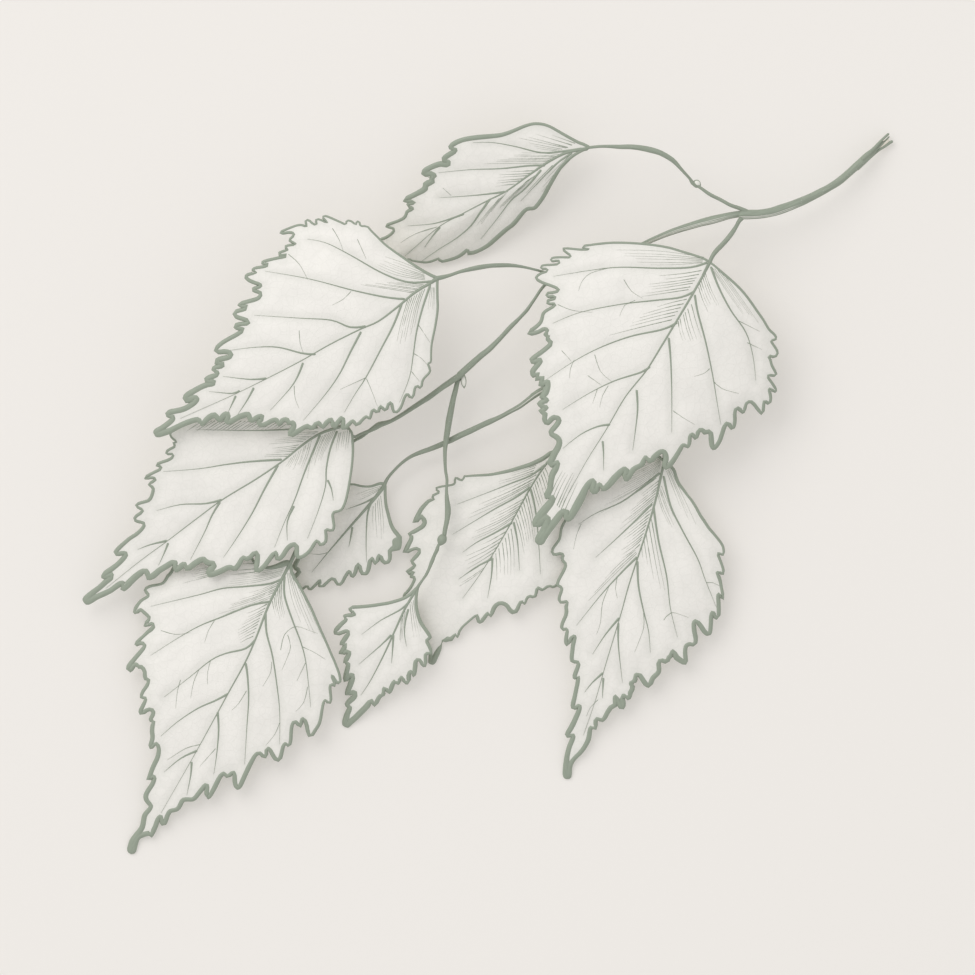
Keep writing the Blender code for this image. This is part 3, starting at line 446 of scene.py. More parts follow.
        out="""
            330 416, 300 409, 270 407, 240 409, 215 412, 195 417, 182 423 1.8, 172.5 429.5, 170 434.4 1.8,
            171.4 437, 174.5 439.6, 176 441.4 2.2, 173.4 442.6, 174.4 444.5, 174 446.4 2.2, 170.2 448.4,
            166.8 450.6, 166 452.3 2.2, 168 453.5, 171.5 453.2, 173 455 2.3, 171.6 457.4, 167.4 459.8 2.5,
            162.4 461.4, 157.5 463.4, 156.4 464.7 2.5, 159.4 465.6, 160.8 467, 159.4 469.1 2.5,
            154.5 471.6, 148.8 474.5, 144.7 477 2.5, 146 478, 150.2 477 2.5, 154.1 477.5, 155.1 479,
            152.4 481.2 2.5, 149.2 483.2, 149 484.2, 151.6 486, 153 488.2 2.8, 152.2 493, 150.2 498 3,
            148 500.2, 143 501.7 2.6, 138 503.2, 136 504.8, 137.5 506.6 2.5, 141 508.5, 142.3 510.2,
            140.2 512.7 2.7, 136 515.5, 134.4 517.8, 135.3 520 2.8, 139.5 521.2, 143.2 522.5,
            143.7 525.2 3, 141 529.2, 136 533.8 3.2, 129.5 538, 123.8 542.8 3.4, 118.8 547.4,
            115.4 551.5 4, 116.7 553.3, 121 552.5 4, 124.7 552.5, 125.4 554.5 4.5, 122.4 558.8,
            117.4 563.8 4.2, 111.6 568.4, 105.2 573, 103.3 575.8 5, 107 575.6, 110.8 574, 110.2 577.3 5,
            105.2 581.6, 98.8 587.4 4.5, 91.6 593 5, 86 598.6 6""",
        back="""
            88.8 599.6 6, 96 596 5, 103 593, 110.2 589.5 4.5, 116 585.2, 121 582.3 5, 122.7 583.3,
            122 586.4 5.5, 124 587.2, 126.6 583.8 6, 131.6 578.8, 137.4 573.8 5.5, 142.4 570.7,
            145.6 570.4 5, 147.3 573.1, 148.3 576.2 6, 152.4 574.8, 158.8 569.6 5, 166 565.2,
            171.6 561.8 5, 174.4 561.9, 175.2 565.2, 175.8 568.2 6, 178.8 566.8, 182.4 564, 184.7 564 5,
            186 567.2, 188.8 566.8 5, 194.5 562.4, 200.2 559 5, 203.7 558.7, 206 561, 208.8 562.3 5,
            212.3 562.5, 213.7 565.2 5.5, 211.6 568, 209 571.6 6, 209.8 573.6, 215.2 572.3 5, 221.6 569.5,
            227.4 566.8 4.5, 231 566.7, 234.5 567.6 4.5, 238 563.8, 241 558.6 4, 243 556.8, 246 558,
            249.5 556.6 4, 253 552.8, 255.8 551.8 4, 257.3 554.5, 257.1 561 4.5, 256.3 566.6,
            256.1 569.3 4.5, 258.8 569.4, 263.8 565.2 4, 268 559.5, 272.4 553.8 4, 274.9 551.8,
            276.4 553.9, 276.6 557.3 4, 278.8 557.9, 282.4 554.5 4, 286.6 548, 291 544.3 4, 294.4 543.8,
            296.5 546, 296.6 553.8 4, 297.5 556.4, 300.2 556.5 3.2, 305.2 553.8, 310.2 548.8 3, 313.8 543,
            316.4 540.1 2.8, 318.4 541.6, 319.9 543.9 2.8, 322.4 543.4, 325 540.8 2.8, 325.5 535.2,
            325 529.7 2.6, 326.6 528.6, 329.5 529.7 2.5, 332.3 529.4, 333.4 525.2, 332.6 519.5 2.4,
            332.1 513.8, 333.5 511.4 2.3, 337.4 510.6, 341 508.8 2.2, 343.8 503.8, 346 496.6 2.2,
            347.8 488, 349.5 478 2, 351 468, 352 458 2, 352.4 449.5, 352.1 441 2.2, 351.2 432.4 2""",
        veins=[
            [(318, 427), (285, 429), (250, 430), (195, 429)],
            [(282, 459), (250, 461), (225, 464), (200, 468), (163, 471)],
            [(222, 499), (205, 503), (180, 504), (156, 510)],
            [(167, 540), (150, 544), (137, 549)],
            [(320, 434), (311, 455), (303, 475), (294, 500), (284, 522), (274, 547)],
            [(337, 430), (330, 448), (326, 468), (325, 486), (318, 510), (307, 538)],
            [(278, 464), (265, 487), (251, 514), (236, 538), (223, 557)],
            [(220, 501), (212, 514), (204, 532), (190, 559)],
            [(168, 542), (164, 552), (158, 565)],
[(327, 479), (331, 488), (333, 500)], [(294, 505), (287, 521), (287, 540)],
        ],
        nerves=[],
        fans=[
            ([(318, 431.5), (306, 432), (294, 433)], [(303, 441), (284, 442.5), (262, 444)], 6),
            ([(299, 444), (286, 446), (272, 447.5)], [(288, 455.5), (277, 455.5), (264, 455.5)], 6),
            ([(291.5, 456.5), (289, 461), (285.5, 466)], [(311, 440), (307, 455), (300, 473)], 9),
            ([(318, 437), (311, 456), (307, 478)], [(335, 429), (328, 443), (322, 458)], 9),
            ([(339, 432), (336.5, 444), (335, 457)], [(349, 429), (348.5, 437), (347, 448)], 6),
            ([(203, 420), (195, 425), (186, 431)], [(292, 420), (284, 425), (276, 430)], 22),
        ],
    ),
    "leaf_lower_left": dict(
        base=(290, 562), tip=(130, 854), heights=(6.6, 0.25, 1.6), fold=(0.02, 0.03), cup=(-3.6, -3),
        stalk=[
            (368, 431, 9.6, 3.4), (361, 436.5, 9.1, 3), (350, 444, 9, 3), (334, 470, 8.6, 3.2),
            (315, 508, 7.7, 3.6), (300, 540, 7, 4), (290, 562, 6.6, 4),
        ],
        midrib=[
            (289, 564), (280, 581), (268, 605), (256, 636), (245, 661), (228, 692), (210, 725), (190, 761),
            (160, 813),
        ],
        rib_width=4.4,
        out="""
            283.5 563.4 5, 276 566 4, 269 567.3 3, 262.5 567 2, 254 562, 245 553, 215 553, 190 557,
            176 563.5 2.8, 171.8 570 3, 170 573, 167.5 575.5 3, 165.1 579.5 2.8, 162.4 582.7,
            157.9 584.4 2.3, 152.9 585.2, 148.6 586.3 2.5, 145.7 587.8, 144.6 589.7 2.8, 145.9 591.8,
            147.6 593.8 2.8, 147.6 595.7, 145.6 597.4 2.6, 142.6 598.9, 140.1 600.9 2.8, 137.2 604.5,
            135.1 607.8 3.4, 134 610.5, 134.9 611.9 3.5, 136.9 611, 140.1 609.3 3, 142.9 611.4,
            146.5 614.5 2.9, 148.7 616.9, 148.2 619.5 3, 145.8 622.1, 144 624.4 3, 145.6 625.2,
            147.9 624.1 2.8, 150.8 623, 152.7 623.8 3.2, 153 626.2, 150.8 629.1 3.6, 147.2 631.9,
            142.9 635.9 2.8, 138.6 639.9, 135.7 643.2 3.6, 136.6 643.9, 139.4 642.4 3.5, 142.4 642.9,
            144.2 644.9 3.3, 142.9 648.1, 139.4 652.4 3.7, 135.8 656.6, 132.2 660.9 4, 129.4 664.5,
            128.1 667.6 4.8, 129 669.3, 130.9 668 4.3, 132.6 665.3, 134.9 663.8 3.7, 136.9 664.6,
            138.1 666.2 3.6, 140.8 666.3, 143 668.5 3.5, 144.3 671.4, 144.4 675.2 3.6, 145.4 678.4,
            148 679.4 3.4, 147.2 683.8, 145.1 687.4 3.2, 142.6 690.9, 141 694.5 3, 140.6 696.7 2.7,
            142.6 697.2, 144.6 697.4 2.8, 145.1 699.3, 143.6 703.1 3.3, 141.5 707.4, 139.9 710.9 3.7,
            140.7 712.9, 142.9 711.8 3.6, 145.8 709.7, 148.6 708.8 3.4, 151.6 709.4, 152.9 711.6 3.6,
            152.1 715.2, 150.3 718.6 3.6, 151 720.6, 153 721.4 3.4, 152.2 724.8, 151.6 730.9 4,
            152.1 735.2, 151.9 738.8 3.9, 150.6 743.1, 149.7 746.6 3.6, 151.4 746.3, 153.3 743.9 3.2,
            155.8 743.1, 157.4 744.9 3.3, 158.4 749.5, 157.8 754.5 3.9, 156.4 758.8, 153.6 764.5 4,
            151.2 770.2, 149.4 775.2 3.8, 147.7 779.2 3.7, 149.9 778.1, 152 775.8 3.6, 153.8 776.9,
            153.4 780.2 3.8, 151.5 784.5, 148.6 788.8 4, 146.1 793.1, 145.2 796.6 4.3, 146.2 800.2,
            148.6 803.1 3.9, 150.3 805.5, 149.3 808.7 3.8, 146.1 812.4, 144.1 815.4 4.3, 143.2 819.5,
            142.5 823.8 4.5, 141.5 827.4, 139.4 830.9 4.8, 136.9 834.5, 134.6 838.1 6, 132.9 841.6 7,
            131.7 845.2, 130.7 848.8 7""",
        back="""
            131.9 846.5 6.5, 134.4 840.4 5.5, 137.2 836.6 4.6, 140.8 834.9 4.4, 145.1 833.3,
            148.2 832.9 4.5, 149.8 834.9 4.5, 151 833.4 4.3, 152.3 830.4, 154.6 825.2 4.2, 156.5 819.8,
            158.9 816.3 4, 160.6 817, 160.8 819.8, 161.7 823.2 4, 163.6 822.7, 165.1 818.8 4, 166.9 814,
            169.4 810.6 3.8, 172.9 809.8, 176.3 808.6 3.7, 178.6 805.7, 180.5 801.6 4, 182.9 799.2,
            187.2 798.9 3.7, 191.3 799, 194.4 797.1 3.8, 197.9 792.6, 201.5 788.1 4, 204.6 784.6,
            206.5 785.3 4, 206.4 789.5, 206.2 793.8 4, 207 796.9, 208.9 795.6 3.7, 211.5 790.9,
            214.1 785.9 4.2, 216.9 780.2, 219.8 775.4 3.9, 222.9 773, 224.6 774.1 3.6, 226.2 775.6,
            228.6 774.7 3.6, 231.2 772.5, 233 772.1 3.6, 234.2 775.4, 234.4 780.9 4, 235.5 785.7,
            237.2 787.4 3.8, 239.4 784.9, 242.2 778.8 4, 245.1 772.4, 247.9 766.6 4, 250.8 760.9,
            253.6 756 3.6, 256.5 753, 259.4 752.7 3.4, 262.1 755.3, 264.3 756.1 3.4, 265.5 753.6,
            265.4 749.9 3.2, 267.2 747.9, 269.9 749.9 3.5, 272.4 754.5, 274.8 758.2 3.7, 277.3 759.4,
            279.4 757.2 3.6, 280.9 751.6, 282.4 745.9 3.2, 284.5 743.1, 286.2 743.8 3, 287.2 745,
            289 743.6 3.1, 289.9 738.8, 290.2 732.4 3.1, 290.9 725.9, 292.8 721.7 3.1, 294.9 721.1,
            297.4 723.6 3.2, 299.6 725.5, 300.5 722.4 3.3, 301 718.9, 302.5 718 3.3, 304.5 720,
            306.2 724.5 3.4, 307.4 730.9, 309.1 735.1 3.2, 311.4 734.3, 314.5 729.5 3.1, 318.1 723.8,
            319.9 717.4 2.8, 320.9 710.9, 322.1 704.5 2.6, 323.5 700.3, 324.9 699.8 2.6, 326.7 701.5,
            329.1 702.1 2.6, 330.1 698.8, 329.8 693.8 2.4, 329.2 688.8, 329.6 684.8 2.6, 331.5 683.9,
            333.7 685.1 2.8, 334 682.6, 332.5 678.8 3.2, 331.4 675.3 3.3, 333.4 678.1, 335.6 681.2 2.8,
            337.6 682.4, 339.4 680.7 2.5, 339.1 676.6, 338.1 672.4 2.1, 335.9 666.6, 333.4 660.2 2,
            330.2 653.1, 326.6 644.5 2, 323.1 636.6, 319.1 627.8 2.1, 315.2 618.8, 310.9 608.8 2.2,
            306.6 600.2, 302.8 593.1 2.3, 298.8 585.4, 295.2 580 2.6, 292.8 575.9, 290.9 571.6 2.8,
            290.2 566.6""",
        veins=[
            [(284, 577), (270, 583), (245, 586), (222, 588), (200, 594), (175, 600), (150, 606)],
            [(270, 601), (250, 605), (220, 617), (200, 625), (180, 636), (150, 655)],
            [(255, 639), (245, 648), (225, 653), (210, 660), (190, 676), (163, 697)],
            [(228, 693), (215, 700), (197, 708), (176, 722), (160, 736)],
            [(197, 750), (180, 758), (163, 772)],
            [(284, 575), (284, 595), (292, 620), (300, 641), (305, 660), (308, 685), (310, 707)],
            [(265, 612), (266, 632), (272, 656), (277, 690), (279, 712), (279, 744)],
            [(245, 662), (247, 676), (248, 700), (246, 730), (244, 764)],
            [(217, 711), (218, 730), (216, 754), (213, 774)],
            [(191, 761), (190, 775), (186, 795)],
        ],
        nerves=[
            [(280, 650), (284, 634), (295, 626), (306, 629), (317, 633)], [(287, 634), (290, 646), (287, 656), (281, 670)],
            [(301, 646), (312, 651), (325, 659)], [(271, 661), (270, 672), (262, 686)],
            [(214, 620), (208, 630), (204, 642)], [(160, 630), (175, 634), (190, 632)],
            [(210, 660), (207, 672), (207, 684)], [(199, 668), (193, 682), (190, 698)],
            [(180, 679), (177, 690), (175, 708)], [(305, 662), (296, 681)], [(307, 686), (303, 702), (295, 711)],
            [(246, 690), (238, 703), (231, 710)], [(279, 722), (274, 734), (265, 745)],
            [(215, 748), (207, 757), (199, 766)], [(200, 744), (185, 748), (166, 760)],
        ],
        fans=[
            ([(286, 563.5), (266, 566.5), (240, 568)], [(281, 574.5), (258, 581), (219, 586.5)], 9),
            ([(255, 563.5), (247, 563.5), (240, 564)], [(255, 572), (243, 573.5), (228, 575)], 3),
            ([(216, 566), (203, 567.5), (193, 569)], [(212, 575), (197, 579), (182, 583)], 6),
            ([(279, 580), (263, 588), (243, 594)], [(271, 597), (247, 606), (214, 616.5)], 8),
            ([(267, 603.5), (257, 609), (246, 613.5)], [(260, 617), (246, 624.5), (231, 633)], 5),
            ([(259, 620), (248, 627), (237, 633)], [(253, 635.5), (246, 638.5), (240, 642)], 5),
            ([(272, 600), (273, 607), (275, 615)], [(281, 581), (281, 600), (287, 625)], 6),
            ([(286.5, 572), (291, 598), (300, 622)], [(293, 572), (307, 604), (324, 642)], 6),
        ],
    ),
    "leaf_inner": dict(
        base=(384.5, 484), tip=(262, 612), heights=(3.6, 0.25, 0.8), fold=(0.05, 0.02), cup=(-1, -2),
        stalk=[
            (450, 439.5, 4.7, 5.5), (439.5, 444.5, 4.6, 5.5), (429.5, 448.5, 4.5, 5), (419.5, 452, 4.3, 4.5),
            (409.5, 456.5, 4.1, 3.5), (399.5, 464, 4, 3), (389.5, 474.5, 3.7, 3), (386, 479.5, 3.6, 3.5),
            (384, 484, 3.6, 4),
        ],
        midrib=[(384, 485), (374, 498), (362, 512), (348, 528), (330, 549), (311, 572)],
        rib_width=5,
        out="""
            380.2 483.1 2.6, 375.9 484.2 2.2, 371.6 485.6 2, 366.6 486.2 1.8, 360.2 485.6 1.8,
            354.5 484.2 1.8, 349.5 484.1 1.8, 343 487, 331 498, 318 516, 308 534, 301 549, 298.2 557.5 3.5,
            295.4 562.8 4, 294.4 566.4 4, 297 568.8 4, 298.6 571.4 4, 296.2 574.6 3.5, 293.4 577.8 3,
            288 584, 280 592, 270 603 2""",
        back="""
            272 607, 287 597 2, 301.2 588.9 2, 303.1 587.4, 305.2 585.9 2.2, 307.1 585.9, 308.2 588.2 2.5,
            310.2 588.6, 313.1 585.9 2.4, 315.9 583.1, 318.5 580.4 2.7, 320 580.2, 319.7 582.4,
            318.6 584.6 2.8, 320 585.7, 322.4 585.4 2.7, 325.2 582.8, 328.1 580.2 2.5, 330.9 578.2,
            332.2 578.4 2.7, 334.2 578.9, 335.4 581.2 2.8, 337.1 583.6, 339.1 583.9 2.6, 341.6 581.5,
            343.4 578.1 2.8, 345.9 573.8, 348.1 570.8 3, 349.7 571.8, 350.7 574.4 3.5, 352.4 575.3,
            354.5 571.6 3.4, 355.9 566.1, 357.6 563.8 3.4, 359.4 566, 360.3 570.2 3.4, 361.9 572.9,
            364.8 573.1 3.2, 367 570.5, 368.3 565.2 3.7, 369.3 560.4, 370.9 558 3.6, 372.7 559.1,
            373.8 561.6 3.5, 375.2 562.4, 376.6 560.1 3.4, 377.5 556.4, 378.8 555 3.6, 380.7 556.8,
            382.1 560.2 3.5, 384.5 562.1, 387.3 561.4 3.1, 389 558.1, 389.1 553.8 3.4, 389 550.4 3.6,
            391.4 548.2 4.5, 395 546.9 7.5, 395.6 542.6 9, 396.4 538.8 7.5, 398.4 536.6 4.5,
            395.2 532.4 3.6, 392.4 528.6 3.3, 390.2 523.8, 388.5 518.1 2.8, 387.1 512.4, 385.6 506.6 2.6,
            384.8 500.2, 384.4 493.1 2.4""",
        veins=[
            [(374, 497), (362, 503), (345, 509)],
            [(372, 499), (367.5, 511), (366, 525), (365.5, 545), (366, 562)],
            [(352, 526), (350, 538), (348, 547)],
        ],
        nerves=[[(327, 552), (318, 554), (303, 552)]],
        fans=[
            ([(381, 485.5), (368, 489.5), (351, 496)], [(379, 489), (370, 494.5), (357, 500)], 4),
            ([(373, 505), (372.5, 520), (374, 537)], [(380, 495), (382.5, 517), (383.3, 539)], 5),
        ],
    ),
    "leaf_middle": dict(
        base=(555, 451), tip=(430, 664), heights=(3.4, 0.26, 1.3), fold=(0.02, 0.03), cup=(-1.6, -2.4),
        stalk=[
            (589, 360, 5.7, 3.4), (586, 370, 5, 3.4), (578, 395, 4.6, 3.4), (565, 430, 3.9, 3.8),
            (555, 451, 3.4, 3.6),
        ],
        midrib=[(554, 453), (543, 467), (530, 487), (513, 518), (497, 546), (480, 573), (462, 598)],
        rib_width=3.2,
        out="""
            549.5 453.3 3.6, 545.9 455.9, 541.6 458.8 3.7, 535.9 461.6, 530.2 464.1 3.6, 523.1 466.4,
            515.9 468.5 3.2, 508.8 470.5, 500.2 472.4 2.6, 490.2 474.2 2.3, 480.2 474.9, 471.6 475.3 1.8,
            465.9 475.9 1.8, 464.3 475.6, 463.1 478.1 1.9, 461.4 479.9, 458.8 479.2 2, 456.6 477.8,
            455.2 477.5 2, 454.5 479.5, 454.5 482.2 2, 453.4 483.8, 450.2 484.8 1.8, 444.5 485.6,
            438.8 486.6 1.8, 435.9 487.6, 436.2 489.4 2, 438.5 490.9, 438.1 492.4 2, 435.2 493.8,
            432.8 494.9 2.2, 432.2 496.9, 433.4 498.8 2.3, 430.9 499.6, 428.1 500.9 3, 424.5 504.5,
            420.9 508.8 3.7, 418.1 513.8, 415.6 518.5 3.7, 413.9 522 3.5, 416 520.2 3.5, 419 516.6 4,
            421.4 516 4.2, 423.4 518.6 4, 424.5 522.2, 422.4 525.9 3.8, 418.1 528.8, 413.1 531.6 3.4,
            408.8 533.9 3.1, 411 535.6 3.4, 410.7 539.3 3.8, 408.8 543.1, 406.6 547.4 4, 404.2 551.6 3.6,
            407.4 550.8 3, 411.6 548.8 2.6, 415.9 547.8 2.8, 418.9 549.1 3, 418.9 551.9, 416.6 555.2 3.2,
            413.8 558.1, 411.5 560.9 3, 412.8 563.1, 414.4 564.8 2.9, 412.8 567.1, 409.9 569.1 2.7,
            406.6 571.6 2.9, 408.2 572.9 2.9, 411 571.4 3.1, 413.2 571.7, 411.2 573.9 3.2, 410.7 576 3.2,
            413.6 576.7 2.8, 414.2 579, 412.4 583.1 2.6, 409.5 588.1, 405.9 592.4 2.5, 403.6 595 2.2,
            404 604, 408 616, 410 630, 417 640, 424 647, 429.6 650.5 3, 430.2 655 3.3, 430 660 3.6""",
        back="""
            432.4 660.6 5, 434.5 655.9 5, 437.1 650.9 4.5, 439.4 646.9 3, 440.5 644.9 1.5, 441.3 642.3 0.6,
            441.9 640.4 2, 443.8 640.2 3.2, 447.2 638.3 4.5, 450.4 638.4 4, 453.1 635.4 2.6, 454.9 634,
            456.4 635.9 2.4, 457.2 636.3, 457.8 634 2.2, 458.8 630.9, 460.4 628.4 2, 463.1 625.2,
            466.6 622.1 1.9, 470.9 618.4, 474.5 615.5 2, 476.6 614.7 2.6, 477.4 617.4 3.2, 478.1 620.6 3.3,
            479.8 621.4 3.3, 482.4 618.8 3.4, 484.9 615.4, 487.4 612.8 3.2, 488.8 614.1, 490.2 615.3 3.2,
            491.3 612.4 3.5, 493.1 607.8 3.8, 495.5 604.5, 498.1 602.8 3.5, 500.9 602.4 3.4, 504.5 603.5,
            507.4 605.9 3.6, 509.5 609.2, 512.4 611.4 4, 515.2 610.7, 516.9 608.1 3.4, 518.4 604.5,
            520.2 601.4 2.8, 522.1 601.1, 523.2 602.9 2.7, 524.5 602.4, 525.5 599.5 2.4, 527.1 596.6,
            529.5 595.5 2.5, 532.1 596.3, 534.4 595.7 2.7, 535.5 592.4, 536.2 588.9 2.8, 537.7 587.1,
            539.5 588.2 2.6, 541.6 589.3, 543.8 588.1 2.4, 546.6 586.1, 549.5 585.4 2.3, 552.4 586.4,
            554.5 585.7 2.3, 556.4 584 2.5, 562 580, 574 570, 580 552, 588 540, 585 515, 579 490, 570 468 2""",
        veins=[
            [(545, 464), (530, 475), (510, 483), (490, 491), (456, 504)],
            [(530, 486), (515, 497), (495, 508), (475, 520), (452, 534)],
            [(512, 522), (495, 532), (476, 542), (462, 552)],
            [(492, 558), (475, 567), (458, 579)],
            [(530, 488), (535, 510), (538, 540), (540, 574)],
            [(513, 521), (517, 541), (519, 570)],
            [(492, 557), (491, 575), (487, 598)],
        ],
        nerves=[],
        fans=[
            ([(536, 465), (520, 470.5), (503, 475)], [(533, 472), (513, 479), (487, 486.5)], 4),
            ([(536, 474.5), (512, 486.5), (484, 498)], [(528.5, 487.5), (500, 503), (463, 520)], 5),
            ([(524, 498), (508, 507), (488, 517)], [(514, 517), (492, 531), (462, 544)], 7),
            ([(507, 530), (488, 541), (468, 549)], [(493, 555), (477, 566), (459, 577)], 6),
            ([(484, 567), (473, 575), (461, 582.5)], [(481.5, 570), (471, 578), (459, 585.5)], 2),
            ([(545, 467), (549, 478), (551, 489)], [(532, 486), (536, 500), (542, 518)], 7),
            ([(527, 493), (532, 515), (535, 540)], [(515, 517), (520, 533), (524, 554)], 7),
            ([(511, 527), (514, 550), (514, 580)], [(495, 553), (496, 566), (496, 580)], 6),
        ],
    ),
    "leaf_hanging": dict(
        base=(417, 587), tip=(345, 727), heights=(6, 0.25, 0.8), fold=(0.05, 0.03), cup=(-2, -4),
        stalk=[
            (441.5, 541, 6.2, 3.5), (438, 544.5, 6.2, 3), (436.5, 549.5, 6.2, 4), (434, 554.5, 6.2, 3.5),
            (432, 559.5, 6.2, 4), (430, 564.5, 6.2, 3.5), (428, 569.5, 6.1, 3), (425.5, 574.5, 6.1, 3),
            (422, 579.5, 6, 2.5), (418.5, 584.5, 6, 3), (417, 587, 6, 3.5),
        ],
        midrib=[(416, 589), (405, 607), (393, 633), (383, 655), (370, 680), (360, 695)],
        rib_width=3.4,
        out="""
            411.6 592.4 2.6, 406.6 596.2 2.6, 400.9 598.9, 393.8 601.2 2.6, 386.6 603, 379.5 604.1 2.7,
            372.4 605.2, 365.2 606 2.7, 358.1 606.6, 352.4 606.9 2.9, 349.8 607.9, 350 609.8 3.1,
            352.1 611.3, 353.9 613.2 3.3, 353.5 614.7, 350.9 615 3.2, 347.4 615, 344.7 615.2 3.1,
            344.3 616.7, 345.7 618.3 3.2, 345 620.2, 342.4 622.4 3.5, 339.5 625.2, 336.9 628.1 3.9,
            335.1 630.9 3.7, 335.3 632.8 3.4, 338.1 633 3.3, 342.4 631.4 3.5, 345.9 630.4 3.6,
            347.9 631.4 3.6, 347.6 633.8, 345.5 637.2 4.2, 343.1 640.6, 341.2 643.4 4, 343.2 643.7 3.8,
            345 644 4, 344.3 646.7, 342.4 649.8 4.2, 340.4 652.9 4, 343.1 652.1 3.8, 346.4 650.9 4,
            348.8 652.1 4.2, 347.9 655.4, 345.9 659 4.2, 344.7 661.9 3.8, 346.6 662.3 3.8, 347.8 664 4,
            347.2 668.1, 345.9 673.1 4.2, 344.9 677.9 4, 344.7 680 3.8, 347 676.9 4, 350 674.2 4.3,
            352.4 675.1 4.5, 352.2 678.1, 350.9 681.9 5, 349.5 685.9, 347.6 690.2 4.4, 346.6 693.5 4,
            349.3 692.6 4.2, 352.2 691.7 4.8, 354.5 692.8 5, 354.3 695.7, 352 698.5 4.9, 349.3 700.9,
            346.8 703.6 4.3, 347.6 705.7, 349.2 706.9 4.3, 348.6 710.2, 346.9 713.8 4.8, 345.9 718.1 5.5,
            345.3 722.4 6""",
        back="""
            346.9 723.6 5.5, 350.9 720.2 5.2, 355.2 716.4, 360.2 711.4 5.2, 365.2 706.4, 368.6 702.2 5,
            370.8 700.3 4.4, 372.4 702.2 3.8, 373.7 704.4 3.6, 375.5 702.1, 377.4 698.3 3.8,
            379.8 695.1 3.6, 382.2 694.3 3.5, 382.9 692.2, 382.7 689.4 3.6, 384.1 687.7 4, 386.4 689.4,
            388.1 691.5 4, 389.5 690, 390.9 686.1 4, 392.4 682.7, 394.1 680.9 4, 395.9 682.3,
            397.7 682.4 3.6, 398.8 679.6, 400.2 677 3.5, 401.6 677 3.3, 403.1 679.5, 404.9 681.9 3.5,
            407.2 682 3.5, 408 679.2, 407.8 675.2 4, 408.6 672.3, 410.6 671.1 3.9, 411.8 672.8,
            412.9 674.6 3.7, 413.8 671.2, 414.4 665.2 3.9, 415 661, 416.6 659 3.2, 419.2 659.4 3,
            420.9 661.6, 422.6 664.7 3.3, 424.3 664.8 3.3, 424.9 661.6, 424.6 657.4 3, 424.9 654.1 3,
            426.6 652.6, 428.8 652.7 3, 430.3 652.3 3, 429.9 649.5, 428.2 645.4 2.8, 426.3 641.8,
            426 639.8 2.9, 428 638.2, 429.3 636.8 3, 427.9 633.8, 424.5 628.8 3, 420.9 623.5,
            418.4 618.1 3, 416.9 613.1 2.8, 415.7 606.6, 415.3 599.5 2.6, 415.9 593.1 2.5""",
        veins=[
            [(410, 600), (400, 609), (380, 620), (361, 634)],
            [(391, 634), (380, 645), (358, 664)],
            [(408, 608), (405, 620), (404, 633), (406, 646)],
            [(393, 634), (392, 650), (391, 663)],
        ],
        nerves=[],
        fans=[
            ([(409.5, 603), (411, 620), (414, 643)], [(414, 598), (417, 618), (423, 642)], 4),
            ([(401, 617), (400, 628), (399, 640)], [(405, 610), (403, 625), (401, 643)], 3),
        ],
    ),
    "leaf_lower_right": dict(
        base=(664, 461), tip=(567, 779), heights=(7, 0.25, 1.6), fold=(0.03, 0.02), cup=(-1.8, -4),
        stalk=[
            (625, 302, 6.8, 4), (628.5, 311, 6.2, 3.8), (642, 345, 6.6, 3.6), (656, 390, 7, 3.6),
            (663, 430, 7.1, 4), (664, 461, 7, 4),
        ],
        midrib=[
            (663, 464), (655, 500), (645, 534), (637, 558), (628, 586), (620, 615), (605, 665), (595, 700),
            (583, 735),
        ],
        rib_width=3.4,
        out="""
            650 452, 630 454, 608 463, 590 476, 576 494, 569 510, 566.4 517 2.2, 564.5 521,
            562.4 524.5 2.3, 560.9 528.8, 560.2 533.8 2.3, 559.4 538.1, 557.4 541.6 2.3, 554.8 544.9,
            552.5 548.5 2.4, 551.8 551.4, 553.1 553.6 2.6, 555.9 553.8, 559.5 552.8 2.5, 562.2 553.5,
            562.9 555.2 2.6, 561.9 558.1, 562.9 560.6 2.6, 565 562.8, 565.4 565.2 2.6, 564.1 568.8,
            561.6 573.8 2.6, 558.8 578.8, 557.3 583.1 2.6, 557.9 585, 560.2 586.1 2.6, 561.5 588.1,
            560.9 591.6 2.6, 559.3 595.9, 558.9 599.5 2.7, 560.3 601.6, 563.3 601.4 2.7, 565.9 600.8,
            566.9 602.4 2.9, 565.9 606.2, 566.3 610.6 3.3, 565.6 614.9, 563.6 619.5 3.1, 561.9 623.8,
            561.5 627.2 2.9, 563.1 628.9, 565.7 628.3 2.8, 566.9 629.8, 566.6 633.1 3.1, 565.9 638.1,
            565.9 642.2 3.6, 566.9 644, 568.8 641.4 3.2, 570.6 637.4, 573 635.5 3, 574.7 636.2,
            574.1 639.5 3.3, 572.8 645.2, 572.1 650.9 3.5, 571.5 656.6, 572 660.3 3.4, 574.5 661.2,
            577.4 661.6 3.1, 578.3 663.8, 577.1 668.1 3.6, 575.2 673.1, 574.3 676.5 3.8, 576 677.6,
            577.8 676.4 3.6, 577.4 682.4, 575.9 689.5 3.5, 574.5 696.6, 573.1 702.4 3.9, 572.7 706.5,
            575 707.1 3.9, 577.9 705.3, 579.5 706 3.8, 579 709.5, 577.4 713.8 4.2, 575.2 718.8,
            572.6 724.5 4.5, 569.8 729.5, 567.2 733.8 4.3, 568 735.4, 570.4 735.1 4, 572.7 734.9,
            573.1 736.8 4, 571.6 740.9, 569.5 745.9 4.2, 568.1 750.9, 566.9 756.6 4.4, 566.4 762.4 5,
            566 768.1, 566 773.8 5.7""",
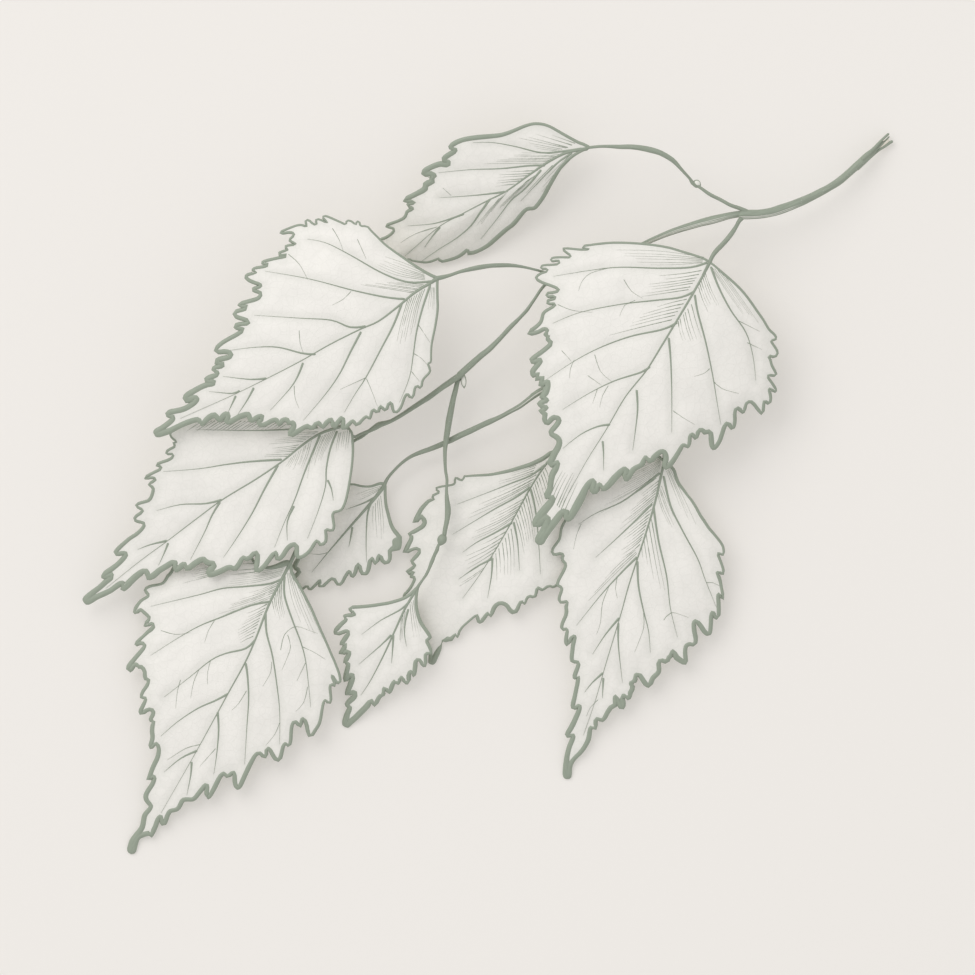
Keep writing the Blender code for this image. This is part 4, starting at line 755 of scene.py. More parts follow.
        back="""
            567.9 773.8 5.4, 569 766.6 4.4, 571.6 760.9 3.9, 575.2 756.6 3.7, 578.8 753.1, 582.4 748.8 3.9,
            585.5 743.8, 587.8 738.8 4.2, 588.8 733.8, 589.6 728.8 3.8, 591 726.8, 593.1 727.6 3.6,
            594.7 727.7, 595.1 724.5 3.7, 595 720.4, 596.5 718.3 3.5, 598.8 718.9, 601.5 719.6 3.6,
            604.1 717.2, 606.9 711.8 4.1, 610.2 707, 612.9 705.4 4.2, 614.3 704.6, 614.6 700.9 4.2,
            614.3 697.2, 615.4 695.9 4, 617 698.6, 618.6 702.6 4.2, 620.4 706.2, 622 706.6 4.3, 622.6 703,
            621.6 698.6 4.4, 622.1 695.6, 624.6 695.3 4.3, 626.8 697.2, 628.8 696.5 4.2, 629.6 692.4,
            631.5 688.8 4.3, 631.8 685.9, 630.5 683.9 4.2, 631.1 681.8, 633.6 680.9 4.2, 634.8 678.1,
            635 675.2 4.2, 636.9 673.9, 639.6 674.7 4.1, 642.4 678.8, 645.2 682.9 4.3, 648.1 684.8,
            650.1 682.4 4.4, 652.1 677.6, 655.2 674.5 4.3, 657.9 671.6, 658.3 667.4 4, 657.9 663.1,
            659.3 660.2 3.8, 662.1 659.8, 664.9 660.9 3.9, 667.3 659.3, 668.2 656.8 4.2, 670.1 655.3,
            671 652.2 4.4, 672.5 651, 674.4 653.3 4.8, 676.6 657 5, 680.9 660, 684.3 661.9 4.3,
            685.1 659.9, 684.6 654.5 3.9, 684.6 648.8, 685.9 644.8 3.7, 689.5 643.4, 692.6 644 3.5,
            694.7 642.3, 695 637.4 3.9, 693.8 631.6, 693.2 625.9 4, 693.3 621.8, 695.2 620.4 3.8,
            697.9 622.1, 700.9 625.9 4, 703.8 630.3, 706.7 633 4, 709 632.7, 709.8 628.8 3.8, 710.2 623.1,
            710.6 615.9 3.9, 711.7 612, 713.4 612.7 3.6, 714.6 615.9, 716.4 617.3 3.5, 717.9 614.5,
            718.1 608.8 3.6, 717.9 601.6, 717.5 594.9 3.6, 718.8 593.5, 720.2 595.9 3, 722.2 598.4 2.7,
            722.1 593.8, 720.9 587.4 2.7, 719.5 580.2, 718 575.9 3.3, 716.7 573 3.5, 717.9 571.2,
            720.2 572.3 3, 722.4 573.2 2.6, 722.9 570.2, 721.6 565.2 2.3, 719.5 559.5, 717.5 554.6 2.5,
            717.6 552.6, 720.2 553.3 2.3, 722.3 554.2, 723.2 551.6 2.2, 722.5 546.6, 720.4 542.4 2.3,
            716.6 537.4, 712.4 532.4 2.4, 708.1 527.4, 703.8 520.9 2.6, 699.5 514.5, 695.2 506.6 2.4,
            690.9 499.9, 686.6 494.5 2.2, 682.4 488.8, 678.1 483.1 2.7, 675.2 475.9, 672.6 468.8 2.8""",
        veins=[
            [(660, 472), (640, 488), (620, 502), (595, 513), (578, 524)],
            [(652, 503), (635, 520), (615, 539), (595, 557)],
            [(637, 556), (620, 573), (600, 595), (576, 625)],
            [(619, 617), (605, 634), (592, 654)],
            [(603, 672), (592, 682), (584, 692)],
            [(663, 475), (670, 505), (682, 530), (697, 558), (705, 580), (716, 607)],
            [(653, 506), (658, 540), (666, 575), (670, 608), (677, 637)],
            [(637, 560), (638, 585), (643, 610), (648, 630), (650, 652)],
            [(618, 622), (618, 645), (622, 682)],
            [(603, 677), (602, 698)],
        ],
        nerves=[
            [(617, 576), (615, 588), (617, 598)], [(609, 585), (602, 603), (600, 622), (596, 634)],
            [(643, 612), (643, 628), (634, 652)], [(663, 620), (671, 612), (688, 617)],
            [(706, 582), (712, 582), (720, 586)], [(598, 699), (590, 707), (586, 716)],
            [(581, 523), (576, 535), (573, 549)],
        ],
        fans=[
            ([(661, 456), (649, 461), (631, 469)], [(660, 470), (638, 487), (604, 505)], 11),
            ([(655, 475), (630, 492), (600, 508)], [(656, 477), (632, 494), (598, 513)], 2),
            ([(659, 480), (650, 487), (640, 495)], [(653, 501), (638, 514), (615, 532)], 8),
            ([(651, 509), (636, 521), (618, 534)], [(640, 543), (631, 551), (622, 557)], 10),
            ([(635, 549.5), (616, 566), (596, 588)], [(636.5, 552.5), (617, 571), (585, 603)], 3),
            ([(657, 494), (662, 511), (671, 529)], [(661, 485), (668, 503), (675, 520)], 5),
            ([(641, 546), (642, 557), (643, 567)], [(651, 518), (658, 557), (667, 602)], 5),
            ([(666, 470), (673, 488), (683, 514)], [(669, 468), (682, 495), (697, 528)], 4),
        ],
    ),
}


class BirchLeafSettings(bpy.types.PropertyGroup):
    """Sizes and colours of the leaves."""
    thickness: bpy.props.FloatProperty(
        name="Blade thickness", description="Thickness of the leaf blade between its veins",
        default=0.0003, min=0.0001, max=0.001, precision=5, unit="LENGTH", subtype="DISTANCE")
    cell: bpy.props.FloatProperty(
        name="Mesh cell", description="Side of the squares that the blade is cut into",
        default=0.0006, min=0.0002, max=0.003, precision=5, unit="LENGTH", subtype="DISTANCE")
    quilting: bpy.props.FloatProperty(
        name="Quilting", description="How far the blade swells up between two veins",
        default=0.00024, min=0, max=0.001, precision=5, unit="LENGTH", subtype="DISTANCE")
    ripple: bpy.props.FloatProperty(
        name="Ripple", description="Height of the slow waves along the margin",
        default=0.00028, min=0, max=0.001, precision=5, unit="LENGTH", subtype="DISTANCE")
    relief: bpy.props.FloatProperty(
        name="Vein relief", description="How far the margin and the thickest veins stand proud of the blade",
        default=0.00016, min=0, max=0.0006, precision=5, unit="LENGTH", subtype="DISTANCE")
    line_width: bpy.props.FloatProperty(
        name="Line width", description="Width of the margins, veins and hairs, as a share of the drawn one",
        default=1, min=0.3, max=2, subtype="FACTOR")
    face_colour: bpy.props.FloatVectorProperty(
        name="Face colour", description="Colour of the upper face of a leaf",
        default=(0.850, 0.826, 0.780), min=0, max=1, size=3, subtype="COLOR")
    underside_colour: bpy.props.FloatVectorProperty(
        name="Underside colour", description="Colour of the paler face that is turned to the surface",
        default=(0.790, 0.785, 0.715), min=0, max=1, size=3, subtype="COLOR")
    vein_colour: bpy.props.FloatVectorProperty(
        name="Vein colour", description="Sage green of the margins and the veins",
        default=(0.296, 0.337, 0.267), min=0, max=1, size=3, subtype="COLOR")


class BirchWoodSettings(bpy.types.PropertyGroup):
    """Sizes and colours of the wood and the buds."""
    ridging: bpy.props.FloatProperty(
        name="Ridging", description="Depth of the long ridges of the bark, as a share of the shoot's radius",
        default=0.07, min=0, max=0.3, subtype="FACTOR")
    bark_colour: bpy.props.FloatVectorProperty(
        name="Bark colour", description="Colour of the bark",
        default=(0.296, 0.337, 0.267), min=0, max=1, size=3, subtype="COLOR")
    # Pale colour of the bark pores and the bud scales' backs, and of the painted highlight lanes along the shoots.
    pale_and_highlight_colour: bpy.props.FloatVectorProperty(
        name="Streak colour", description="Colour of the pale streaks that run along the bark",
        default=(0.79, 0.78, 0.72), min=0, max=1, size=3, subtype="COLOR")
    cut_colour: bpy.props.FloatVectorProperty(
        name="Cut colour", description="Colour of the fresh wood where the twig was cut",
        default=(0.83, 0.78, 0.68), min=0, max=1, size=3, subtype="COLOR")


class BirchStageSettings(bpy.types.PropertyGroup):
    """The surface, the light and the camera."""
    floor_colour: bpy.props.FloatVectorProperty(
        name="Surface colour", description="Colour of the surface that the twig lies on",
        default=(0.847, 0.815, 0.776), min=0, max=1, size=3, subtype="COLOR")
    floor_size: bpy.props.FloatProperty(
        name="Surface size", description="Side of the square surface",
        default=6, min=0.5, max=20, unit="LENGTH", subtype="DISTANCE")
    glow: bpy.props.FloatProperty(
        name="Surface glow",
        description="Share of the surface's brightness that is its own light, as on a light table",
        default=0.36, min=0, max=1, subtype="FACTOR")
    sky: bpy.props.FloatProperty(
        name="Sky light", description="Strength of the even light from all around",
        default=0.77, min=0, max=3)
    key: bpy.props.FloatProperty(
        name="Key light", description="Power of the large soft light, in watts",
        default=11.5, min=0, max=500)
    lens: bpy.props.FloatProperty(
        name="Lens", description="Focal length of the camera, in millimetres",
        default=1000, min=50, max=2000)


SETTINGS = {
    "birch_leaf": BirchLeafSettings,
    "birch_wood": BirchWoodSettings,
    "birch_stage": BirchStageSettings,
}


def place(x, y, height):
    """A point of the sketch and its height in millimetres, as a place in metres."""
    return Vector(((x - SKETCH_CENTRE[0]) * UNIT, (SKETCH_CENTRE[1] - y) * UNIT, height * MM))


def spline_value(a, b, c, d, t):
    """A Catmull-Rom spline's value between b and c."""
    bend = 2 * a - 5 * b + 4 * c - d
    return 0.5 * (2 * b + (c - a) * t + bend * t ** 2 + (3 * b - a - 3 * c + d) * t ** 3)


def smooth_route(points, spacing):
    """More points along a smooth curve through the given ones, about spacing apart."""
    ends = [points[0], *points, points[-1]]
    route = []
    for a, b, c, d in zip(ends, ends[1:], ends[2:], ends[3:]):
        steps = max(1, round(hypot(c[0] - b[0], c[1] - b[1]) / spacing))
        for step in range(steps):
            route.append(tuple(spline_value(*values, step / steps) for values in zip(a, b, c, d)))
    return route + [points[-1]]


def margin_side(start, marks, end):
    """One side of a margin from its text, as a list of points with their widths where they have one."""
    return [start, *(tuple(float(part) for part in mark.split()) for mark in marks.split(",")), end]


def stop_value(stops, number):
    """The value at a number between the numbered stops of a table, in straight steps."""
    numbers = sorted(stops)
    number = max(number, numbers[0])
    for low, high in zip(numbers, numbers[1:]):
        if number <= high:
            return stops[low] + (stops[high] - stops[low]) * (number - low) / (high - low)
    return stops[numbers[-1]]


def mix(a, b, share):
    return a + (b - a) * share


def finder(points):
    """A search tree over points of the sketch."""
    tree = KDTree(len(points))
    for number, point in enumerate(points):
        tree.insert((point[0], point[1], 0), number)
    tree.balance()
    return tree


class BladeSurface:
    """The bent middle surface of one leaf, over the plan of the sketch."""

    def __init__(self, leaf, shape):
        run = Vector(leaf["tip"]) - Vector(leaf["base"])
        self.leaf = leaf
        self.shape = shape
        self.base = Vector(leaf["base"])
        self.along = run.normalized()
        self.length = run.length
        self.sides = [margin_side(leaf["base"], leaf["out"], leaf["tip"]),
                      margin_side(leaf["tip"], leaf["back"], leaf["base"])]
        ring = self.sides[0][:-1] + self.sides[1]
        self.outline = smooth_route([point[:2] for point in ring], OUTLINE_SPACING)[:-1]
        self.margin = finder(self.outline)
        ribs = [leaf["midrib"], *leaf["veins"]]
        self.veins = finder([point for rib in ribs for point in smooth_route(rib, OUTLINE_SPACING)])

    def away_from(self, tree, x, y):
        """Distance in metres from a point of the sketch to the nearest one of a search tree."""
        return tree.find((x, y, 0))[2] * UNIT

    def bent_height(self, x, y):
        """Height in metres where the blade has neither quilting nor veins."""
        offset = Vector((x, y)) - self.base
        share = min(max(offset.dot(self.along) / self.length, -0.15), 1.05)
        side = offset.x * self.along.y - offset.y * self.along.x
        half = 0 if side < 0 else 1
        away = abs(side) * UNIT
        base_height, tip_height, arch = self.leaf["heights"]
        spine = base_height + (tip_height - base_height) * share + arch * sin(pi * min(max(share, 0), 1))
        bend = self.leaf["fold"][half] * away / MM + self.leaf["cup"][half] * (away / CUP_REFERENCE) ** 2
        wave = noise.noise(Vector((x / WAVE_LENGTH, y / WAVE_LENGTH, self.base.x)))
        calm = min(away / CALM_REACH, 1) * min(max(share, 0) * 4, 1)
        return (spine + bend) * MM + self.shape.ripple * wave * calm

    def height(self, x, y):
        """Height in metres of the middle of the quilted blade."""
        from_vein = self.away_from(self.veins, x, y)
        from_margin = self.away_from(self.margin, x, y)
        swell = (1 - exp(-(from_vein / 0.0011) ** 2)) * (1 - exp(-(from_margin / 0.0016) ** 2))
        crumple = 0.5 + 0.5 * noise.noise(Vector((x / 9, y / 9, self.base.y)))
        return self.bent_height(x, y) + self.shape.quilting * swell * mix(0.6, 1.2, crumple)

    def place(self, x, y, lift=0):
        spot = place(x, y, 0)
        spot.z = self.height(x, y) + lift
        return spot

    def normal(self, x, y):
        """The upward direction square to the bent blade."""
        step = 2
        spots = [place(x + dx, y + dy, 0) for dx, dy in ((step, 0), (-step, 0), (0, -step), (0, step))]
        for spot, (dx, dy) in zip(spots, ((step, 0), (-step, 0), (0, -step), (0, step))):
            spot.z = self.bent_height(x + dx, y + dy)
        return (spots[0] - spots[1]).cross(spots[2] - spots[3]).normalized()


def new_cage():
    """An empty bmesh with the layers that the materials read."""
    cage = bmesh.new()
    cage.verts.layers.float_vector.new("grain")
    cage.verts.layers.float.new("depth")
    cage.verts.layers.float.new("near_vein")
    cage.verts.layers.float.new("near_margin")
    return cage


def round_off(travelled, length, radius, blunt):
    """The share of its full size that a rod has near its rounded ends."""
    share = 1
    for distance, rounded in ((travelled, blunt[0]), (length - travelled, blunt[1])):
        if rounded and distance < radius:
            share = min(share, sqrt(1 - (1 - distance / radius) ** 2))
    return max(share, 0.14)


def cap_places(end, inner):
    """Two more places close to the end of a path, so that the rod rounds off within its own radius."""
    gap = (inner[0] - end[0]).length
    radius = end[2]
    return [tuple(mix(a, b, share * radius / gap) for a, b in zip(end, inner))
            for share in (0.2, 0.7) if share * radius < 0.8 * gap]


def stations_of(path, blunt=(True, True)):
    """Ring frames along a path of places with their up direction, half sizes and depth of colour."""
    first, last = cap_places(path[0], path[1]), cap_places(path[-1], path[-2])
    path = [path[0], *first, *path[1:-1], *reversed(last), path[-1]]
    travelled = [0]
    for before, after in zip(path, path[1:]):
        travelled.append(travelled[-1] + (after[0] - before[0]).length)
    stations = []
    for number, (spot, up, half_width, half_height, depth) in enumerate(path):
        low = high = number
        while low > 0 and (low == number or travelled[number] - travelled[low] < half_width):
            low -= 1
        while high < len(path) - 1 and (high == number or travelled[high] - travelled[number] < half_width):
            high += 1
        tangent = (path[high][0] - path[low][0]).normalized()
        up = (up - tangent * up.dot(tangent)).normalized()
        side = tangent.cross(up)
        share = round_off(travelled[number], travelled[-1], half_width, blunt)
        ring = Matrix((side * half_width * share, up * half_height * share, tangent)).transposed().to_4x4()
        ring.translation = spot
        stations.append(Station(ring, travelled[number], depth))
    return stations


def sweep(cage, stations, sides, material):
    """A closed rod through the stations, drawn out ring by ring from a circle."""
    grain = cage.verts.layers.float_vector["grain"]
    depth = cage.verts.layers.float["depth"]
    start = stations[0].frame
    ring = bmesh.ops.create_circle(cage, cap_ends=True, segments=sides, radius=1, matrix=start)["verts"]
    edges = list({edge for corner in ring for edge in corner.link_edges})
    rings = [ring]
    for before, station in zip(stations, stations[1:]):
        grown = bmesh.ops.extrude_edge_only(cage, edges=edges)["geom"]
        ring = [part for part in grown if isinstance(part, bmesh.types.BMVert)]
        fresh = set(ring)
        edges = [part for part in grown if isinstance(part, bmesh.types.BMEdge)]
        edges = [edge for edge in edges if fresh.issuperset(edge.verts)]
        bmesh.ops.transform(cage, matrix=station.frame @ before.frame.inverted(), verts=ring)
        rings.append(ring)
    bmesh.ops.edgeloop_fill(cage, edges=edges)
    for ring, station in zip(rings, stations):
        flat = station.frame.inverted()
        for corner in ring:
            across = flat @ corner.co
            corner[grain] = (across.x, across.y, station.along / MM)
            corner[depth] = station.depth
    faces = {face for ring in rings for corner in ring for face in corner.link_faces}
    for face in faces:
        face.material_index = material
        face.smooth = True
    bmesh.ops.recalc_face_normals(cage, faces=list(faces))
    return rings


def line_on_leaf(cage, surface, route, spacing, sides, relief, depths=(1, 1), blunt=(True, True)):
    """A raised line on a leaf, through points with their widths in sketch units."""
    shape = surface.shape
    smooth = smooth_route(route, spacing)
    path = []
    for number, (x, y, width) in enumerate(smooth):
        share = number / (len(smooth) - 1)
        half_width = max(width * shape.line_width, 0.3) * UNIT / 2
        proud = relief * mix(0.45, 1, min(width / 5, 1))
        path.append((surface.place(x, y), surface.normal(x, y), half_width, shape.thickness / 2 + proud,
                     mix(depths[0], depths[1], share)))
    sweep(cage, stations_of(path, blunt), sides, VEIN)


def with_widths(points, widths):
    """Points of the sketch, each with its width from a table of numbered stops."""
    return [(x, y, stop_value(widths, number)) for number, (x, y) in enumerate(points)]


def tapered(points, start, end):
    """Points of the sketch with the width of a line that runs out evenly."""
    return with_widths(points, {0: start, len(points) - 1: end})


def draw_margin(cage, surface):
    """The two sides of the margin, with the widths that some of their points give."""
    leaf = surface.leaf
    for side in surface.sides:
        widths = {number: point[2] for number, point in enumerate(side) if len(point) > 2}
        widths = {number: width * leaf.get("weight", MARGIN_WEIGHT) for number, width in widths.items()}
        route = with_widths([point[:2] for point in side], widths)
        line_on_leaf(cage, surface, route, MARGIN_SPACING, MARGIN_SIDES, surface.shape.relief)


def draw_veins(cage, surface):
    leaf = surface.leaf
    relief = surface.shape.relief
    widths = {number: leaf["rib_width"] * share for number, share in RIB_TAPER.items()}
    widths[len(leaf["midrib"]) - 1] = LINE_END
    midrib = with_widths(leaf["midrib"], widths)
    line_on_leaf(cage, surface, midrib, VEIN_SPACING, VEIN_SIDES, relief * RIB_RELIEF)
    for vein in leaf["veins"]:
        line_on_leaf(cage, surface, tapered(vein, VEIN_WIDTH, LINE_END), VEIN_SPACING, VEIN_SIDES, relief)
    for nerve in leaf["nerves"]:
        line_on_leaf(cage, surface, tapered(nerve, *NERVE_WIDTHS), VEIN_SPACING, HAIR_SIDES,
                     relief * NERVE_RELIEF, NERVE_DEPTHS)


def hair_width(first, last, count):
    """The width that a fan's hairs start with, so that the blade still shows between them."""
    run = (Vector(first[1]) - Vector(first[0])).normalized()
    gap = abs(run.cross(Vector(last[0]) - Vector(first[0]))) / max(count - 1, 1)
    return min(max(HAIR_GAP_SHARE * gap, HAIR_WIDTHS[0]), HAIR_WIDTHS[1])


def draw_hairs(cage, surface, chance):
    """The fans of fine hairs: each one lies between its fan's first and last, a little shorter or longer."""
    for first, last, count in surface.leaf["fans"]:
        width = hair_width(first, last, count)
        for number in range(count):
            share = (number + chance.uniform(-HAIR_STRAY, HAIR_STRAY)) / max(count - 1, 1)
            reach = chance.uniform(*HAIR_REACH)
            hair = [(mix(a[0], b[0], share), mix(a[1], b[1], share)) for a, b in zip(first, last)]
            hair = smooth_route(hair, HAIR_SPACING)
            hair = hair[:max(3, round(len(hair) * reach))]
            line_on_leaf(cage, surface, tapered(hair, width, LINE_END), HAIR_SPACING, HAIR_SIDES,
                         surface.shape.relief * HAIR_RELIEF, HAIR_DEPTHS)


def make_blade(cage, surface):
    """The toothed outline, filled, cut into small squares, bent, quilted and given its thickness."""
    shape = surface.shape
    corners = [cage.verts.new(place(x, y, 0)) for x, y in surface.outline]
    edges = [cage.edges.new(pair) for pair in zip(corners, corners[1:] + corners[:1])]
    bmesh.ops.contextual_create(cage, geom=edges)
    base = place(*surface.base, 0)
    along = (place(*surface.leaf["tip"], 0) - base).normalized()
    for direction in (along, Vector((-along.y, along.x, 0))):
        reaches = [direction.dot(corner.co - base) / shape.cell for corner in corners]
        for number in range(ceil(min(reaches)), floor(max(reaches)) + 1):
            bmesh.ops.bisect_plane(cage, geom=cage.verts[:] + cage.edges[:] + cage.faces[:], dist=1e-7,
                                   plane_co=base + direction * number * shape.cell, plane_no=direction)
    bmesh.ops.triangulate(cage, faces=[face for face in cage.faces if len(face.verts) > 4])
    upper = cage.verts[:]
    grown = bmesh.ops.extrude_face_region(cage, geom=cage.faces[:])["geom"]
    lower = [part for part in grown if isinstance(part, bmesh.types.BMVert)]
    for face in cage.faces:
        face.smooth = True
        face.material_index = FACE
    for face in (part for part in grown if isinstance(part, bmesh.types.BMFace)):
        face.material_index = UNDERSIDE
    near_vein = cage.verts.layers.float["near_vein"]
    near_margin = cage.verts.layers.float["near_margin"]
    for corners, lift in ((upper, shape.thickness / 2), (lower, -shape.thickness / 2)):
        for corner in corners:
            x = corner.co.x / UNIT + SKETCH_CENTRE[0]
            y = SKETCH_CENTRE[1] - corner.co.y / UNIT
            corner.co.z = surface.height(x, y) + lift
            corner[near_vein] = surface.away_from(surface.veins, x, y) / MM
            corner[near_margin] = surface.away_from(surface.margin, x, y) / MM
    bmesh.ops.recalc_face_normals(cage, faces=cage.faces[:])


def make_stalk(cage, surface):
    """The leaf stalk, which runs out into the midrib."""
    leaf = surface.leaf
    path = rod_path(smooth_route(leaf["stalk"], STALK_SPACING), 1)
    x, y = (mix(a, b, 0.4) for a, b in zip(leaf["base"], leaf["midrib"][1]))
    half = leaf["rib_width"] * UNIT / 2
    path.append((surface.place(x, y), surface.normal(x, y), 0.7 * half, 0.8 * half, 1))
    sweep(cage, stations_of(path), STALK_SIDES, STALK)


def finish_piece(name, cage, materials, node):
    """The bmesh as a piece of the object that rides on the body and stands for its solid."""
    for corner in cage.verts:
        corner.co.z = max(corner.co.z, LOWEST)
    mesh = bpy.data.meshes.new(name)
    cage.to_mesh(mesh)
    cage.free()
    for material in materials:
        mesh.materials.append(material)
    mesh.set_sharp_from_angle(angle=radians(55))
    piece = bpy.data.objects.new(name, mesh)
    bpy.context.scene.collection.objects.link(piece)
    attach(piece, "root")
    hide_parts(node)
    return piece


class Shader:
    """A new material with its nodes, which are added and linked by short calls."""

    def __init__(self, name, **values):
        self.material = bpy.data.materials.new(name)
        self.material.use_nodes = True
        self.tree = self.material.node_tree
        self.surface = self.tree.nodes["Principled BSDF"]
        for socket, value in values.items():
            self.surface.inputs[socket.replace("_", " ").title()].default_value = value

    def add(self, kind, settings=(), **inputs):
        """A node with its settings, and its inputs by name, each a value or another node's output."""
        node = self.tree.nodes.new("ShaderNode" + kind)
        for name, value in dict(settings).items():
            setattr(node, name, value)
        for name, value in inputs.items():
            self.feed(node.inputs[int(name[1:]) if name[1:].isdigit() else name.replace("_", " ")], value)
        return node

    def feed(self, socket, value):
        if isinstance(value, bpy.types.NodeSocket):
            self.tree.links.new(value, socket)
        else:
            socket.default_value = value

    def object_place(self):
        return self.add("TexCoord").outputs["Object"]

    def attribute(self, name, kind="Fac"):
        return self.add("Attribute", {"attribute_name": name}).outputs[kind]

    def stretched(self, vector, scale):
        return self.add("Mapping", Vector=vector, Scale=scale).outputs["Vector"]

    def noise(self, vector, scale, detail=3.0):
        return self.add("TexNoise", Vector=vector, Scale=scale, Detail=detail).outputs["Fac"]

    def ramp(self, value, *stops):
        """A value spread over stops, each a position and the grey there."""
        node = self.add("ValToRGB", Fac=value)
        steps = node.color_ramp.elements
        while len(steps) < len(stops):
            steps.new(0.5)
        for step, (position, grey) in zip(steps, stops):
            step.position = position
            step.color = (grey, grey, grey, 1)
        return node.outputs["Color"]

    def sum(self, operation, a, b):
        return self.add("Math", {"operation": operation}, _0=a, _1=b).outputs["Value"]

    def blend(self, share, a, b):
        """One colour over another, by a share."""
        return self.add("Mix", {"data_type": "RGBA"}, _0=share, _6=a, _7=b).outputs[2]

    def bump(self, height, strength, distance):
        node = self.add("Bump", Height=height, Strength=strength, Distance=distance)
        self.tree.links.new(node.outputs["Normal"], self.surface.inputs["Normal"])


def opaque(colour, gain=1.0):
    return (colour[0] * gain, colour[1] * gain, colour[2] * gain, 1)


def blade_material(name, colour, vein_colour, tint):
    """Leaf skin: clouded, netted with tiny veins, and greener beside the veins and the margin."""
    shader = Shader(name, roughness=0.5)
    spot = shader.object_place()
    clouds = shader.noise(spot, 160, 4)
    base = shader.blend(shader.ramp(clouds, (0.3, 0), (0.7, 1)), opaque(colour, 0.965), opaque(colour, 1.02))
    cells = {"feature": "DISTANCE_TO_EDGE"}
    net = shader.add("TexVoronoi", cells, Vector=spot, Scale=620.0).outputs["Distance"]
    fine = shader.add("TexVoronoi", cells, Vector=spot, Scale=1900.0).outputs["Distance"]
    threads = shader.ramp(net, (0.0, 1), (0.09, 0))
    hairs = shader.ramp(fine, (0.0, 1), (0.16, 0))
    beside_vein = shader.ramp(shader.sum("DIVIDE", shader.attribute("near_vein"), 1.6), (0.0, 1), (1.0, 0))
    near_margin = shader.sum("DIVIDE", shader.attribute("near_margin"), 2.2)
    beside_margin = shader.ramp(near_margin, (0.0, 1), (1.0, 0))
    green = shader.sum("MULTIPLY", shader.sum("MAXIMUM", beside_vein, beside_margin), tint)
    green = shader.sum("ADD", green, shader.sum("MULTIPLY", threads, tint * 0.34))
    green = shader.sum("ADD", green, shader.sum("MULTIPLY", hairs, tint * 0.18))
    shader.feed(shader.surface.inputs["Base Color"], shader.blend(green, base, opaque(vein_colour)))
    shader.feed(shader.surface.inputs["Roughness"], shader.ramp(clouds, (0.2, 0.44), (0.8, 0.6)))
    relief = shader.sum("ADD", threads, shader.sum("MULTIPLY", hairs, 0.5))
    shader.bump(relief, 0.26, 0.00006)
    return shader.material


def vein_material(name, colour, pale):
    """Sage green that pales where a line fades, with fine fibres along it."""
    shader = Shader(name, roughness=0.5)
    fibre = shader.noise(shader.stretched(shader.attribute("grain", "Vector"), (2.2, 2.2, 0.35)), 2.0, 4)
    green = shader.blend(shader.ramp(fibre, (0.3, 0), (0.7, 1)), opaque(colour, 0.93), opaque(colour, 1.09))
    green = shader.blend(shader.attribute("depth"), opaque(pale), green)
    shader.feed(shader.surface.inputs["Base Color"], green)
    shader.bump(fibre, 0.3, 0.00005)
    return shader.material


def bark_material(name, colour, pale_and_highlight, lanes=()):
    """Twig bark: long fibres, small lens-shaped pores, and painted highlights as pale lanes along the shoot, at
    places across its width.
    """
    shader = Shader(name, roughness=0.62)
    grain = shader.attribute("grain", "Vector")
    fibre = shader.noise(shader.stretched(grain, (2.6, 2.6, 0.16)), 3.0, 5)
    blotch = shader.noise(shader.stretched(grain, (0.8, 0.8, 0.22)), 1.6, 3)
    base = shader.blend(shader.ramp(fibre, (0.32, 0), (0.68, 1)), opaque(colour, 0.86), opaque(colour, 1.12))
    base = shader.blend(shader.ramp(blotch, (0.35, 0), (0.75, 0.3)), base, opaque(colour, 0.8))
    pores = shader.add("TexVoronoi", {"feature": "F1"}, Vector=shader.stretched(grain, (0.9, 0.9, 1.0)),
                       Scale=1.5, Randomness=1.0).outputs["Distance"]
    pore = shader.ramp(pores, (0.10, 1), (0.17, 0))
    base = shader.blend(shader.sum("MULTIPLY", pore, 0.35), base, opaque(pale_and_highlight))
    across = shader.add("SeparateXYZ", Vector=grain).outputs["X"]
    # Painted highlight: each lane is a pale band along the shoot, shown as strongly as the depth attribute says.
    for number, (lane, half_width) in enumerate(lanes):
        wander = shader.noise(shader.stretched(grain, (0.0, 0.0, 0.14 + 0.05 * number)), 1.0, 2)
        middle = shader.sum("ADD", shader.sum("MULTIPLY", shader.sum("SUBTRACT", wander, 0.5), 0.3), lane)
        off = shader.sum("ABSOLUTE", shader.sum("SUBTRACT", across, middle), 0)
        line = shader.ramp(shader.sum("DIVIDE", off, half_width), (0.5, 1), (1.0, 0))
        line = shader.sum("MULTIPLY", line, shader.attribute("depth"))
        base = shader.blend(line, base, opaque(pale_and_highlight))
    shader.feed(shader.surface.inputs["Base Color"], base)
    shader.bump(shader.sum("ADD", fibre, pore), 0.5, 0.00008)
    return shader.material


def cut_material(name, colour):
    """Fresh wood with fine grain."""
    shader = Shader(name, roughness=0.7)
    spot = shader.object_place()
    grains = shader.noise(shader.stretched(spot, (1.0, 1.0, 3.0)), 2600, 3)
    shade = shader.blend(shader.ramp(grains, (0.3, 0), (0.7, 1)), opaque(colour, 0.9), opaque(colour, 1.06))
    shader.feed(shader.surface.inputs["Base Color"], shade)
    shader.bump(grains, 0.4, 0.00005)
    return shader.material


def bud_material(name, colour, pale, dark):
    """Bud scales, sage at their edges and paler on their backs."""
    shader = Shader(name, roughness=0.45)
    grain = shader.attribute("grain", "Vector")
    fibre = shader.noise(shader.stretched(grain, (3.0, 3.0, 1.2)), 3.0, 4)
    base = shader.blend(shader.ramp(fibre, (0.3, 0), (0.7, 1)), opaque(colour, 0.88), opaque(colour, 1.1))
    edge = shader.ramp(shader.attribute("depth"), (0.62, 0), (0.8, 1))
    edge = shader.sum("MAXIMUM", edge, dark)
    shader.feed(shader.surface.inputs["Base Color"], shader.blend(edge, opaque(pale), base))
    shader.bump(fibre, 0.35, 0.00006)
    return shader.material


def rod_path(points, depth=0.0):
    """Places along a route of the sketch, each with its up direction, half sizes and depth of colour."""
    path = []
    for x, y, height, width in points:
        half = width * UNIT / 2
        path.append((place(x, y, height), Vector((0, 0, 1)), half, half, depth))
    return path


